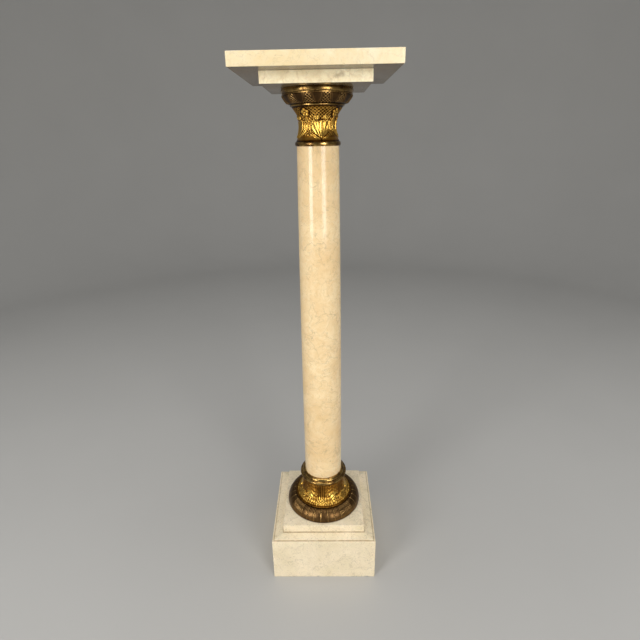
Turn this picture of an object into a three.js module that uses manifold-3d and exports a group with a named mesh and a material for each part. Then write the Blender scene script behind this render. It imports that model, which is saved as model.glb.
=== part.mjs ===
// Pedestal column stand, in millimetres, +Z up, standing on z = 0 and centred on its tie rod.
// A square marble plinth and step carry a cast bronze base mount, a tapered marble shaft, a
// cast bronze capital, a marble abacus and a marble top. One iron rod draws the pile together.
import * as THREE from "three";
import { mergeVertices } from "three/addons/utils/BufferGeometryUtils.js";
import Module from "manifold-3d";

const wasm = await Module();
wasm.setup();

// ---- Marble ----
const plinthSide = 233.5;
const plinthHeight = 107.5; // to the outer arris
const plinthLedge = 4.5; // flat ledge round the top edge
const plinthFillet = 1.8; // small upright step inside the ledge
const plinthFall = 2.7; // slope from the fillet up to the step slab
const stepSide = 184.5;
const stepHeight = 19.8;
const abacusSide = 177.1;
const abacusHeight = 18.4;
const topSide = 259.3;
const topHeight = 20.4;
const arris = 0.8; // eased edge of every slab
const shaftHeight = 729.1;
const shaftFootRadius = 42.5;
const shaftHeadRadius = 38.2;
const shaftStraight = 120; // straight stretch below the entasis

// ---- Base mount: torus, collar and neck ring ----
const torusRadius = 86.5; // widest, just above the foot
const torusHeight = 25.2;
const torusToe = 2.7; // height of the widest line above the foot
const torusTuck = 2; // how far the foot draws in below it
const torusTopRadius = 66;
const torusBoreRadius = 50; // locates the collar
const torusCoreDepth = 19; // ring-shaped hollow open below
const torusRise = 0.7; // crown of each panel of the torus
const torusTurn = -4.4; // degrees, as the casting stands on the pile
const panelCount = 32;
const collarHeight = 48.9;
const collarBeadRadius = 67;
const collarBeadHeight = 3.2;
const collarNeckRadius = 46;
const collarNeckHeight = 3; // straight stretch under the neck ring
const collarBoreRadius = 24; // locates the neck ring
const collarTopThickness = 4.5;
const collarTurn = 25;
const leafCount = 6;
const leafLength = 37; // from the neck down to the tip, along the metal
const leafHalfWidth = 13.5;
const leafLobes = 4; // on each side
const leafNotch = 0.32; // how deep the lobes are parted, as a share of the half width
const leafRise = 2.6;
const leafSink = 0.5; // share of that rise the leaf loses towards its stem
const leafTipArch = 0.12; // the leaf's width follows an arch from here at its tip
const leafStemArch = 0.87; // to here at its stem, as shares of a half turn
const reedLength = 18; // reeds hang from the neck between the leaves
const reedHalfWidth = 1.8;
const reedSpacing = 5.5; // at the neck
const reedSpread = 1; // how much further apart they lie at their tips, as a share
const reedRise = 1.2;
const ringHeight = 18;
const ringRadius = 54.3;
const ringUndercut = 4; // height of the hollow under the ring's swell
const ringSwell = 8; // height of the swell
const ringLipRadius = 49.6;
const ringLand = 1; // flat round the mouth of the pocket
const ringSeat = 6; // thickness of the floor under the shaft

// ---- Capital: astragal, bell, fillet ring, echinus and top ring ----
const astragalSkirt = 4.5; // reaches down round the shaft's head
const astragalSeat = 3; // thickness over the shaft's head
const astragalSwell = 1.7;
const bellHeight = 56.4;
const bellFootRadius = 38.9;
const bellNeckRadius = 31.6;
const bellLipRadius = 45.6;
const bellNeckHeight = 25.2;
const bellFlare = 2.2; // power of the flare above the neck
const bellTurn = 11;
const shieldCount = 4;
const shieldTip = 7; // above the bell's foot, along the metal
const shieldHeight = 31;
const shieldHalfWidth = 13.6;
const shieldPoint = 17; // height over which the shield comes to its point
const shieldRise = 1.8;
const scrollRadius = 5.2;
const scrollEye = 1.8; // radius at the scroll's inner end
const scrollOffset = 7.5; // from the shield's centre line
const scrollTurns = 1.1;
const scrollHalfWidth = 1.5;
const scrollTaper = 0.4; // share of that width lost at the inner end
const scrollRise = 2.4;
const flowerDrop = 13; // from the bell's lip down to the flower's heart
const flowerRadius = 8;
const flowerRise = 1.9;
const petalCount = 5;
const petalNotch = 0.62; // how far in the petals part, as a share of the flower's radius
const pendantLength = 13; // narrow leaf under each flower
const pendantHalfWidth = 2.6;
const pendantRise = 1.3;
const filletHeight = 2.9;
const filletRadius = 48;
const echinusHeight = 16;
const echinusFootRadius = 48.4;
const echinusRimRadius = 61.5;
const echinusRimHeight = 1.3;
const echinusBelly = 9; // how far out the curve swells before it turns under
const echinusTurn = 1;
const tongueCount = 12;
const tongueLength = 15; // from the rim down, along the metal
const tongueHalfWidth = 9.4;
const tongueRise = 1.3;
const topRingHeight = 9.2;
const topRingRadius = 63;
const topRingGroove = 0.9; // height of the dark joint under the ring
const topRingShoulder = 59.3;
const topRingSwell = 1.4;
const topRingPlate = 4;

// ---- Ornament in general ----
const motifRoot = 1.2; // how deep a motif is rooted in the metal under it
const tipHalfWidth = 0.4; // of a pointed tip

// ---- Seats, walls and clearances ----
const hairline = 0.05; // between two faces that rest on each other
const overcut = 1; // how far a tool that cuts a hollow reaches past the stone or metal
const leastLand = 0.5; // of a shoulder next to a locating rim
const wall = 4; // of the hollow castings
const spigot = 3; // height of each locating rim
const play = 0.4; // round each locating rim and the shaft's ends
const packingThickness = 1; // soft washer at each end of the shaft
const packingInset = 1; // from the shaft's edge

// ---- Iron: tie rod, nuts, washers and dowels ----
const rodRadius = 6;
const rodPlay = 3; // round the rod in stone and bronze
const rodEnd = 4; // beyond each nut
const rodChamfer = 1;
const nutHeight = 10;
const nutFlats = 19;
const nutPlay = 0.3;
const footWasherRadius = 26;
const headWasherRadius = 17;
const washerThickness = 3;
const washerPlay = 0.6;
const recessPlay = 4; // round a washer, and beyond the rod's ends
const footRecessSpare = 9; // from the rod's foot to the floor
const headRecessDepth = 8; // in the abacus, under the washer
const dowelRadius = 4;
const dowelLength = 17;
const dowelOffset = 58;
const dowelPlay = 0.3;

// ---- Facets ----
const roundFacets = 36;
const hiddenFacets = 24; // of hollows that nothing opens on
const smallFacets = 16;
const torusColumns = 3 * panelCount;
const torusRows = 5;
const curveSteps = 3; // along each curve of a turned profile

// ---- Finishes: colour, roughness, metalness ----
const marble = { color: 0xeee0c0, roughness: 0.25, metalness: 0 };
const giltBronze = { color: 0xb98a3a, roughness: 0.35, metalness: 1 };
const brownBronze = { color: 0x7c5b38, roughness: 0.42, metalness: 1 };
const iron = { color: 0x4a4643, roughness: 0.6, metalness: 1 };
const felt = { color: 0x3d3a34, roughness: 0.95, metalness: 0 };

// ---- Shared shaping ----

function signedVolume(points, triangles) {
  const [a, b, c] = [new THREE.Vector3(), new THREE.Vector3(), new THREE.Vector3()];
  let sum = 0;
  for (let i = 0; i < triangles.length; i += 3) {
    a.fromArray(points, 3 * triangles[i]);
    b.fromArray(points, 3 * triangles[i + 1]);
    c.fromArray(points, 3 * triangles[i + 2]);
    sum += a.dot(b.cross(c)) / 6;
  }
  return sum;
}

// A closed geometry as a solid: corners merged, flattened triangles dropped, faces turned out.
function solidOf(geometry) {
  geometry.deleteAttribute("normal");
  geometry.deleteAttribute("uv");
  const merged = mergeVertices(geometry, 1e-4);
  const points = merged.getAttribute("position").array;
  const triangles = [];
  for (let i = 0; i < merged.index.count; i += 3) {
    const corners = Array.from(merged.index.array.slice(i, i + 3));
    if (new Set(corners).size === 3) triangles.push(...corners);
  }
  if (signedVolume(points, triangles) < 0) triangles.reverse();
  const triVerts = Uint32Array.from(triangles);
  return new wasm.Manifold(new wasm.Mesh({ numProp: 3, vertProperties: points, triVerts }));
}

// A profile of [radius, height] pairs turned about the upright axis. A profile that leaves the
// axis has to come back to it; any other is closed into a ring.
function turned(profile, facets = roundFacets, start = 0) {
  const points = profile.map(([radius, height]) => new THREE.Vector2(radius, height));
  if (profile[0][0] > 0) points.push(points[0].clone());
  return solidOf(new THREE.LatheGeometry(points, facets, start).rotateX(Math.PI / 2));
}

// A square moulding is the same turning with four facets: radii are half sides here.
function squareTurned(profile) {
  const corners = profile.map(([half, height]) => [half * Math.SQRT2, height]);
  return turned(corners, 4, Math.PI / 4);
}

function disc(radius, low, high, facets = roundFacets) {
  return turned([[0, low], [radius, low], [radius, high], [0, high]], facets);
}

function ring(inner, outer, low, high, facets = roundFacets) {
  return turned([[inner, low], [outer, low], [outer, high], [inner, high]], facets);
}

// Points of a curve given by a function of 0..1, with both ends.
function along(curve, steps) {
  return Array.from({ length: steps + 1 }, (_, i) => curve(i / steps));
}

// A round body whose skin follows profile(t) and stands out from it by relief(angle), except at
// its two flat ends.
function carved(profile, rows, columns, relief) {
  const points = [];
  const triangles = [];
  const small = 1e-3;
  for (let row = 0; row <= rows; row++) {
    const t = row / rows;
    const [radius, height] = profile(t);
    const [r0, z0] = profile(Math.max(0, t - small));
    const [r1, z1] = profile(Math.min(1, t + small));
    const length = Math.hypot(r1 - r0, z1 - z0);
    for (let column = 0; column < columns; column++) {
      const angle = (2 * Math.PI * column) / columns;
      const out = row === 0 || row === rows ? 0 : relief(angle);
      const reach = radius + (out * (z1 - z0)) / length;
      const rise = height - (out * (r1 - r0)) / length;
      points.push(reach * Math.sin(angle), -reach * Math.cos(angle), rise);
    }
  }
  for (let row = 0; row < rows; row++)
    for (let column = 0; column < columns; column++) {
      const a = row * columns + column;
      const b = row * columns + ((column + 1) % columns);
      triangles.push(a, b, b + columns, a, b + columns, a + columns);
    }
  const foot = points.length / 3;
  const head = foot + 1;
  points.push(0, 0, profile(0)[1], 0, 0, profile(1)[1]);
  for (let column = 0; column < columns; column++) {
    const next = (column + 1) % columns;
    triangles.push(foot, next, column);
    triangles.push(head, rows * columns + column, rows * columns + next);
  }
  const geometry = new THREE.BufferGeometry();
  geometry.setAttribute("position", new THREE.Float32BufferAttribute(points, 3));
  geometry.setIndex(triangles);
  return solidOf(geometry);
}

const dome = (share) => Math.sqrt(Math.max(0, 1 - share * share));

// A turned skin measured in millimetres of metal. at(angle, side, climb, out) is the point that
// lies `side` along the arc from the line at `angle`, `climb` up the curve and `out` off the skin.
function skinOf(curve) {
  const points = along(curve, 8 * curveSteps).map((pair) => new THREE.Vector2(...pair));
  const line = new THREE.SplineCurve(points);
  const length = line.getLength();
  function at(angle, side, climb, out) {
    const share = THREE.MathUtils.clamp(climb / length, 0, 1);
    const place = line.getPointAt(share);
    const heading = line.getTangentAt(share);
    const turn = angle + side / place.x;
    const reach = place.x + out * heading.y;
    return [reach * Math.sin(turn), -reach * Math.cos(turn), place.y - out * heading.x];
  }
  return { length, at };
}

// A closed loft through rings of equally many points, with a flat cap at each end.
function lofted(rings) {
  const count = rings[0].length;
  const last = (rings.length - 1) * count;
  const triangles = [];
  for (let first = 0; first < last; first += count)
    for (let i = 0; i < count; i++) {
      const a = first + i;
      const b = first + ((i + 1) % count);
      triangles.push(a, b, b + count, a, b + count, a + count);
    }
  for (let i = 1; i + 1 < count; i++) {
    triangles.push(0, i + 1, i);
    triangles.push(last, last + i, last + i + 1);
  }
  const geometry = new THREE.BufferGeometry();
  geometry.setAttribute("position", new THREE.Float32BufferAttribute(rings.flat(2), 3));
  geometry.setIndex(triangles);
  return solidOf(geometry);
}

// Sections of a motif: places across its half width, and heights as a share of its rise. The two
// corners at -1 are its roots.
const crowned = [[-1, -1], [-0.85, 0.7], [0, 1], [0.85, 0.7], [1, -1]];
const veined = [[-1, -1], [-0.7, 1], [0, 0.4], [0.7, 1], [1, -1]];
const ridged = [[-1, -1], [-0.5, 1], [0.5, 1], [1, -1]];

// One motif, swept on the skin: path(s) gives [side, climb] and shape(s) [half width, rise].
function swept(skin, angle, section, path, shape, steps) {
  const small = 1e-3;
  const rings = along((s) => {
    const [side, climb] = path(s);
    const [side0, climb0] = path(s - small);
    const [side1, climb1] = path(s + small);
    const length = Math.hypot(side1 - side0, climb1 - climb0);
    const [half, rise] = shape(s);
    const lean = (half * (side1 - side0)) / length;
    const reach = (half * (climb1 - climb0)) / length;
    return section.map(([x, y]) =>
      skin.at(angle, side + x * reach, climb - x * lean, y < 0 ? -motifRoot : y * rise),
    );
  }, steps);
  return lofted(rings);
}

// A flower as a loft: rings [share of the radius, share of the rise] from its root up the petals
// and in to the heart. Each petal has a notch and two shoulders.
function flower(skin, angle, climb) {
  const edge = Array.from({ length: petalCount }, () => [petalNotch, 1, 1]).flat();
  const rings = [[1, -1], [1, 0.4], [0.6, 1], [0.3, 0.5], [0.22, 1.4]];
  return lofted(
    rings.map(([share, height]) =>
      edge.map((corner, i) => {
        const turn = (2 * Math.PI * i) / edge.length;
        const radius = flowerRadius * share * (share > 0.5 ? corner : 1);
        const out = height < 0 ? -motifRoot : height * flowerRise;
        return skin.at(angle, radius * Math.sin(turn), climb + radius * Math.cos(turn), out);
      }),
    ),
  );
}

// The same motif at `count` places round the axis; make(angle) gives each.
function around(count, make, start = 0) {
  return Array.from({ length: count }, (_, i) => make(start + (2 * Math.PI * i) / count));
}

// Joins motifs to a casting, trimmed to the casting's own height.
function dressed(body, height, motifs) {
  const band = disc(2 * torusRadius, 0, height, smallFacets);
  const relief = wasm.Manifold.union(motifs).intersect(band);
  return body.add(relief);
}

function piece(name, solid, finish, height = 0, turn = 0) {
  const { vertProperties, triVerts } = solid.getMesh();
  const geometry = new THREE.BufferGeometry();
  geometry.setAttribute("position", new THREE.BufferAttribute(vertProperties, 3));
  geometry.setIndex(new THREE.BufferAttribute(triVerts, 1));
  geometry.computeVertexNormals();
  const mesh = new THREE.Mesh(geometry, new THREE.MeshStandardMaterial(finish));
  mesh.name = name;
  mesh.position.z = height;
  mesh.rotation.z = THREE.MathUtils.degToRad(turn);
  return mesh;
}

function groupAt(height, ...pieces) {
  const group = new THREE.Group();
  group.position.z = height;
  group.add(...pieces);
  return group;
}

// ---- Stone ----

const rodHole = rodRadius + rodPlay;
const footRecessRadius = footWasherRadius + recessPlay;
const footRecessDepth = footRecessSpare + rodEnd + nutHeight + 2 * hairline + washerThickness;
const headRecessRadius = headWasherRadius + recessPlay;
const headPile = washerThickness + nutHeight + 2 * hairline + rodEnd + recessPlay;

// The hole for the rod through a stone of that height.
function rodHoleThrough(height) {
  return disc(rodHole, -overcut, height + overcut, smallFacets);
}

// A square slab with its four upper and four lower edges eased.
function slab(side, height) {
  const half = side / 2;
  return squareTurned([
    [0, 0],
    [half - arris, 0],
    [half, arris],
    [half, height - arris],
    [half - arris, height],
    [0, height],
  ]);
}

// The plinth is one block: a ledge, a small step and a gentle fall are worked round its top,
// and a recess below takes the foot of the rod.
function plinthBlock() {
  const half = plinthSide / 2;
  const fillet = plinthHeight + plinthFillet;
  const body = squareTurned([
    [0, 0],
    [half - arris, 0],
    [half, arris],
    [half, plinthHeight - arris],
    [half - arris, plinthHeight],
    [half - plinthLedge, plinthHeight],
    [half - plinthLedge, fillet],
    [stepSide / 2 - arris, fillet + plinthFall],
    [0, fillet + plinthFall],
  ]);
  const recess = disc(footRecessRadius, -overcut, footRecessDepth);
  return body.subtract(recess).subtract(rodHoleThrough(fillet + plinthFall));
}

function stepSlab() {
  return slab(stepSide, stepHeight).subtract(rodHoleThrough(stepHeight));
}

// Straight for a stretch above the foot, then the slow inward curve of a classical column.
function shaftRadius(height) {
  const climb = Math.max(0, height - shaftStraight) / (shaftHeight - shaftStraight);
  return shaftFootRadius - (shaftFootRadius - shaftHeadRadius) * climb * climb;
}

function shaft() {
  const skin = along((t) => shaftStraight + t * (shaftHeight - shaftStraight), 2 * curveSteps);
  return turned([
    [rodHole, 0],
    [shaftFootRadius, 0],
    ...skin.map((height) => [shaftRadius(height), height]),
    [rodHole, shaftHeight],
  ]);
}

function dowelPlaces() {
  return [-dowelOffset, dowelOffset];
}

function dowelHoles(low, high) {
  const holes = dowelPlaces().map((x) =>
    disc(dowelRadius + dowelPlay, low, high, smallFacets).translate([x, 0, 0]),
  );
  return holes[0].add(holes[1]);
}

function abacusSlab() {
  const sunk = dowelLength / 2 + dowelPlay;
  return slab(abacusSide, abacusHeight)
    .subtract(rodHoleThrough(abacusHeight))
    .subtract(disc(headRecessRadius, abacusHeight - headRecessDepth, abacusHeight + overcut))
    .subtract(dowelHoles(abacusHeight - sunk, abacusHeight + overcut));
}

function topSlab() {
  return slab(topSide, topHeight)
    .subtract(disc(headRecessRadius, -overcut, headPile - headRecessDepth))
    .subtract(dowelHoles(-overcut, dowelLength / 2 + dowelPlay));
}

// ---- Base mount ----

// From the foot out to the widest line, then a quarter ellipse up and in to the top face.
function torusProfile(t) {
  const toe = 1 / torusRows;
  if (t <= toe) return [torusRadius - torusTuck * (1 - t / toe), (torusToe * t) / toe];
  const turn = ((t - toe) / (1 - toe)) * (Math.PI / 2);
  const reach = torusRadius - torusTopRadius;
  return [
    torusTopRadius + reach * Math.cos(turn),
    torusToe + (torusHeight - torusToe) * Math.sin(turn),
  ];
}

// Each panel between two radial lines is slightly crowned. A line faces front.
function torusRelief(angle) {
  const half = Math.PI / panelCount;
  const share = ((angle % (2 * half)) - half) / half;
  return torusRise * (dome(share) - 1);
}

function baseTorus() {
  const inner = torusBoreRadius + wall;
  const outer = torusRadius - torusTuck - wall;
  const core = turned(
    [
      [inner, -overcut],
      [outer, -overcut],
      [outer, torusToe],
      [Math.max(inner + wall, torusTopRadius), torusCoreDepth],
      [inner, torusCoreDepth],
    ],
    hiddenFacets,
  );
  return carved(torusProfile, torusRows, torusColumns, torusRelief)
    .subtract(core)
    .subtract(disc(torusBoreRadius, -overcut, torusHeight + overcut));
}

// Half-round bead, from the foot up and round to its top.
function collarBead() {
  const swell = collarBeadHeight / 2;
  const centre = collarBeadRadius - swell;
  return along((t) => {
    const turn = Math.PI * (t - 0.5);
    return [centre + swell * Math.cos(turn), swell + swell * Math.sin(turn)];
  }, curveSteps);
}

// The hollow quarter ellipse from the bead up to the neck.
function collarHollow(t) {
  const crease = collarBeadRadius - collarBeadHeight;
  const top = collarHeight - collarNeckHeight;
  const turn = (t * Math.PI) / 2;
  return [
    crease - (crease - collarNeckRadius) * Math.sin(turn),
    top - (top - collarBeadHeight) * Math.cos(turn),
  ];
}

const collarSkin = skinOf(collarHollow);

// A lobed leaf, its stem at the neck and its tip down towards the bead.
function acanthus(angle) {
  const path = (s) => [0, collarSkin.length - leafLength * (1 - s)];
  const shape = (s) => {
    const notch = 1 - leafNotch * Math.abs(Math.cos(leafLobes * Math.PI * s));
    const arch = THREE.MathUtils.lerp(leafTipArch, leafStemArch, s);
    const half = leafHalfWidth * Math.sin(Math.PI * arch) * notch;
    return [half, leafRise * (1 - leafSink * s)];
  };
  return swept(collarSkin, angle, veined, path, shape, 2 * leafLobes);
}

function reed(angle, side) {
  const path = (s) => {
    const spread = 1 + reedSpread * (1 - s);
    return [side * spread, collarSkin.length - reedLength * (1 - s)];
  };
  const shape = (s) => [Math.max(tipHalfWidth, reedHalfWidth * Math.sqrt(s)), reedRise];
  return swept(collarSkin, angle, ridged, path, shape, 2);
}

function baseCollar() {
  const spigotRadius = torusBoreRadius - play;
  const bottom = spigotRadius - wall;
  const inside = collarNeckRadius - wall;
  const under = collarHeight - collarTopThickness;
  const hollow = turned(
    [
      [0, -spigot - overcut],
      [bottom, -spigot - overcut],
      [bottom, collarBeadHeight + wall],
      [inside, under / 2],
      [inside, under],
      [0, under],
    ],
    hiddenFacets,
  );
  const bore = disc(collarBoreRadius, under - overcut, collarHeight + overcut);
  const between = Math.PI / leafCount;
  const motifs = [
    ...around(leafCount, acanthus),
    ...[-1, 0, 1].flatMap((i) => around(leafCount, (angle) => reed(angle, i * reedSpacing), between)),
  ];
  const skin = turned([
    [0, -spigot],
    [spigotRadius, -spigot],
    [spigotRadius, 0],
    ...collarBead(),
    ...along(collarHollow, 2 * curveSteps),
    [collarNeckRadius, collarHeight],
    [0, collarHeight],
  ]);
  return dressed(skin, collarHeight, motifs).subtract(hollow).subtract(bore);
}

// A polished ring with a hollow below, a swell and a smaller lip above, and a pocket for the
// shaft's foot. Its own rim drops into the collar's bore.
function neckRing() {
  const pocket = shaftFootRadius + play;
  const rim = collarBoreRadius - play;
  const lipFoot = ringUndercut + ringSwell;
  const lipHeight = ringHeight - lipFoot;
  const hollow = along((t) => {
    const turn = (t * Math.PI) / 2;
    const reach = ringRadius - ringSwell / 2 - collarNeckRadius;
    return [collarNeckRadius + reach * (1 - Math.cos(turn)), ringUndercut * Math.sin(turn)];
  }, curveSteps - 1);
  const swell = along((t) => {
    const turn = Math.PI * (t - 0.5);
    const half = ringSwell / 2;
    return [ringRadius - half + half * Math.cos(turn), ringUndercut + half + half * Math.sin(turn)];
  }, curveSteps + 1);
  const lip = along((t) => {
    const turn = (t * Math.PI) / 2;
    const mouth = pocket + ringLand;
    const reach = ringLipRadius - mouth;
    return [mouth + reach * Math.cos(turn), lipFoot + lipHeight * Math.sin(turn)];
  }, curveSteps);
  return turned([
    [rim - wall, -spigot],
    [rim, -spigot],
    [rim, 0],
    ...hollow,
    ...swell.slice(1),
    ...lip,
    [pocket, ringHeight],
    [pocket, ringSeat],
    [rim - wall, ringSeat],
  ]);
}

// ---- Capital ----

const bellBore = bellNeckRadius - wall;

// The astragal hangs round the shaft's head and its rim stands up into the bell.
function astragalRing() {
  const pocket = shaftHeadRadius + play;
  const height = astragalSkirt + astragalSeat;
  const face = Math.max(pocket + ringLand, bellFootRadius + leastLand);
  const rim = bellBore - play;
  const skin = along((t) => {
    const turn = t * Math.PI;
    return [face + astragalSwell * Math.sin(turn), t * height - astragalSkirt];
  }, curveSteps + 1);
  return turned([
    [pocket, -astragalSkirt],
    ...skin,
    [rim, astragalSeat],
    [rim, astragalSeat + spigot],
    [rim - wall, astragalSeat + spigot],
    [rim - wall, 0],
    [pocket, 0],
  ]);
}

function bellRadius(height) {
  if (height < bellNeckHeight) {
    const fall = 1 - height / bellNeckHeight;
    return bellNeckRadius + (bellFootRadius - bellNeckRadius) * fall * fall;
  }
  const climb = (height - bellNeckHeight) / (bellHeight - bellNeckHeight);
  return bellNeckRadius + (bellLipRadius - bellNeckRadius) * climb ** bellFlare;
}

const bellSkin = skinOf((t) => [bellRadius(t * bellHeight), t * bellHeight]);
const flowerClimb = bellSkin.length - flowerDrop;

// A pointed shield, tip down.
function shield(angle) {
  const path = (s) => [0, shieldTip + s * shieldHeight];
  const shape = (s) => {
    const open = Math.min(1, (s * shieldHeight) / shieldPoint);
    const half = shieldHalfWidth * Math.sin((open * Math.PI) / 2);
    return [Math.max(tipHalfWidth, half), shieldRise];
  };
  return swept(bellSkin, angle, crowned, path, shape, 5);
}

// One of the two scrolls that curl over a shield's shoulders; hand is 1 or -1.
function scroll(angle, hand) {
  const centre = shieldTip + shieldHeight + scrollHalfWidth;
  const path = (s) => {
    const turn = 2 * Math.PI * scrollTurns * s - Math.PI / 2;
    const radius = THREE.MathUtils.lerp(scrollRadius, scrollEye, s);
    return [hand * (scrollOffset + radius * Math.cos(turn)), centre + radius * Math.sin(turn)];
  };
  const shape = (s) => [scrollHalfWidth * (1 - scrollTaper * s), scrollRise];
  return swept(bellSkin, angle, ridged, path, shape, 8);
}

// The narrow leaf that hangs under a flower.
function pendant(angle) {
  const top = flowerClimb - petalNotch * flowerRadius;
  const path = (s) => [0, top - pendantLength * (1 - s)];
  const shape = (s) => [
    Math.max(tipHalfWidth, pendantHalfWidth * Math.sin(Math.PI * s)),
    pendantRise,
  ];
  return swept(bellSkin, angle, ridged, path, shape, 4);
}

function capitalBell() {
  const inside = along((t) => {
    const height = bellNeckHeight + t * (bellHeight - bellNeckHeight);
    return [bellRadius(height) - wall, height];
  }, curveSteps);
  const hollow = turned([
    [0, -overcut],
    [bellBore, -overcut],
    ...inside,
    [bellLipRadius - wall, bellHeight + overcut],
    [0, bellHeight + overcut],
  ]);
  const between = Math.PI / shieldCount;
  const motifs = [
    ...around(shieldCount, shield),
    ...around(shieldCount, (angle) => scroll(angle, 1)),
    ...around(shieldCount, (angle) => scroll(angle, -1)),
    ...around(shieldCount, (angle) => flower(bellSkin, angle, flowerClimb), between),
    ...around(shieldCount, pendant, between),
  ];
  const skin = along((t) => [bellRadius(t * bellHeight), t * bellHeight], 2 * curveSteps + 1);
  return dressed(turned([[0, 0], ...skin, [0, bellHeight]]), bellHeight, motifs).subtract(hollow);
}

const echinusBore = echinusFootRadius - wall;

// A thin half-round ring with one rim down in the bell and one up in the echinus.
function filletRing() {
  const down = bellRadius(bellHeight - spigot) - wall - play;
  const up = echinusBore - play;
  const inner = Math.min(down, up) - wall;
  const half = filletHeight / 2;
  const edge = along((t) => {
    const turn = Math.PI * (t - 0.5);
    return [filletRadius - half + half * Math.cos(turn), half + half * Math.sin(turn)];
  }, curveSteps);
  return turned([
    [inner, -spigot],
    [down, -spigot],
    [down, 0],
    ...edge,
    [up, filletHeight],
    [up, filletHeight + spigot],
    [inner, filletHeight + spigot],
  ]);
}

// The swelling curve from the foot up to the rim.
function echinusSwell(t) {
  const under = echinusHeight - echinusRimHeight;
  const swell = new THREE.QuadraticBezierCurve(
    new THREE.Vector2(echinusFootRadius, 0),
    new THREE.Vector2(echinusFootRadius + echinusBelly, under / 3),
    new THREE.Vector2(echinusRimRadius, under),
  );
  return swell.getPoint(t).toArray();
}

const echinusSkin = skinOf(echinusSwell);

// A smooth tongue with a round end, broad at the rim.
function tongue(angle) {
  const path = (s) => [0, echinusSkin.length - tongueLength * (1 - s)];
  const shape = (s) => {
    const half = tongueHalfWidth * Math.sqrt(1 - (1 - s) ** 2);
    return [Math.max(tipHalfWidth, half), tongueRise];
  };
  return swept(echinusSkin, angle, crowned, path, shape, 3);
}

function capitalEchinus() {
  const rimBore = echinusRimRadius - wall;
  const hollow = turned([
    [0, -overcut],
    [echinusBore, -overcut],
    [echinusBore, wall / 4],
    [rimBore, echinusHeight - spigot - overcut],
    [rimBore, echinusHeight + overcut],
    [0, echinusHeight + overcut],
  ]);
  const skin = along(echinusSwell, curveSteps);
  const rim = [echinusRimRadius, echinusHeight];
  const plain = turned([[0, 0], ...skin, rim, [0, echinusHeight]]);
  return dressed(plain, echinusHeight, around(tongueCount, tongue)).subtract(hollow);
}

// The ring that carries the abacus: a closed plate with a rim that drops into the echinus.
function topRing() {
  const rim = echinusRimRadius - wall - play;
  const shoulder = Math.max(topRingShoulder, rim + leastLand);
  const face = topRingHeight - topRingGroove;
  const skin = along((t) => {
    const swell = topRingSwell * (Math.sin(t * Math.PI) - 1);
    return [topRingRadius + swell, topRingGroove + t * face];
  }, curveSteps);
  return turned([
    [rim - wall, -spigot],
    [rim, -spigot],
    [rim, 0],
    [shoulder, 0],
    [shoulder, topRingGroove],
    ...skin,
    [rodHole, topRingHeight],
    [rodHole, topRingHeight - topRingPlate],
    [rim - wall, topRingHeight - topRingPlate],
  ]);
}

// ---- Iron ----

function washer(radius) {
  return ring(rodRadius + washerPlay, radius, 0, washerThickness, hiddenFacets);
}

function nut() {
  const corner = nutFlats / Math.sqrt(3);
  return disc(corner, 0, nutHeight, 6).subtract(
    disc(rodRadius + nutPlay, -overcut, nutHeight + overcut, smallFacets),
  );
}

function tieRod(length) {
  const tip = rodRadius - rodChamfer;
  return turned(
    [
      [0, 0],
      [tip, 0],
      [rodRadius, rodChamfer],
      [rodRadius, length - rodChamfer],
      [tip, length],
      [0, length],
    ],
    smallFacets,
  );
}

function packing(radius) {
  return ring(rodHole, radius, 0, packingThickness, hiddenFacets);
}

// ---- Assembly: each group stands on the one before it ----

const plinthTop = plinthHeight + plinthFillet + plinthFall;
const stepFoot = plinthTop + hairline;
const baseMountFoot = stepFoot + stepHeight + hairline;
const collarFoot = torusHeight + hairline;
const ringFoot = collarFoot + collarHeight + hairline;
const shaftGroupFoot = baseMountFoot + ringFoot + ringSeat + hairline;
const shaftFoot = packingThickness + hairline;
const headPackingFoot = shaftFoot + shaftHeight + hairline;
const capitalFoot = shaftGroupFoot + headPackingFoot + packingThickness + hairline;
const bellFoot = astragalSeat + hairline;
const filletFoot = bellFoot + bellHeight + hairline;
const echinusFoot = filletFoot + filletHeight + hairline;
const topRingFoot = echinusFoot + echinusHeight + hairline;
const topGroupFoot = capitalFoot + topRingFoot + topRingHeight + hairline;
const topSlabFoot = abacusHeight + hairline;
const dowelFoot = abacusHeight + hairline / 2 - dowelLength / 2;

// The foot washer bears up on the plinth's recess, the head washer down on the abacus.
const footWasherTop = footRecessDepth - hairline;
const footNutTop = footWasherTop - washerThickness - hairline;
const headWasherFoot = topGroupFoot + abacusHeight - headRecessDepth + hairline;
const headNutFoot = headWasherFoot + washerThickness + hairline;
const rodFoot = footNutTop - nutHeight - rodEnd;
const rodLength = headNutFoot + nutHeight + rodEnd - rodFoot;

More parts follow.
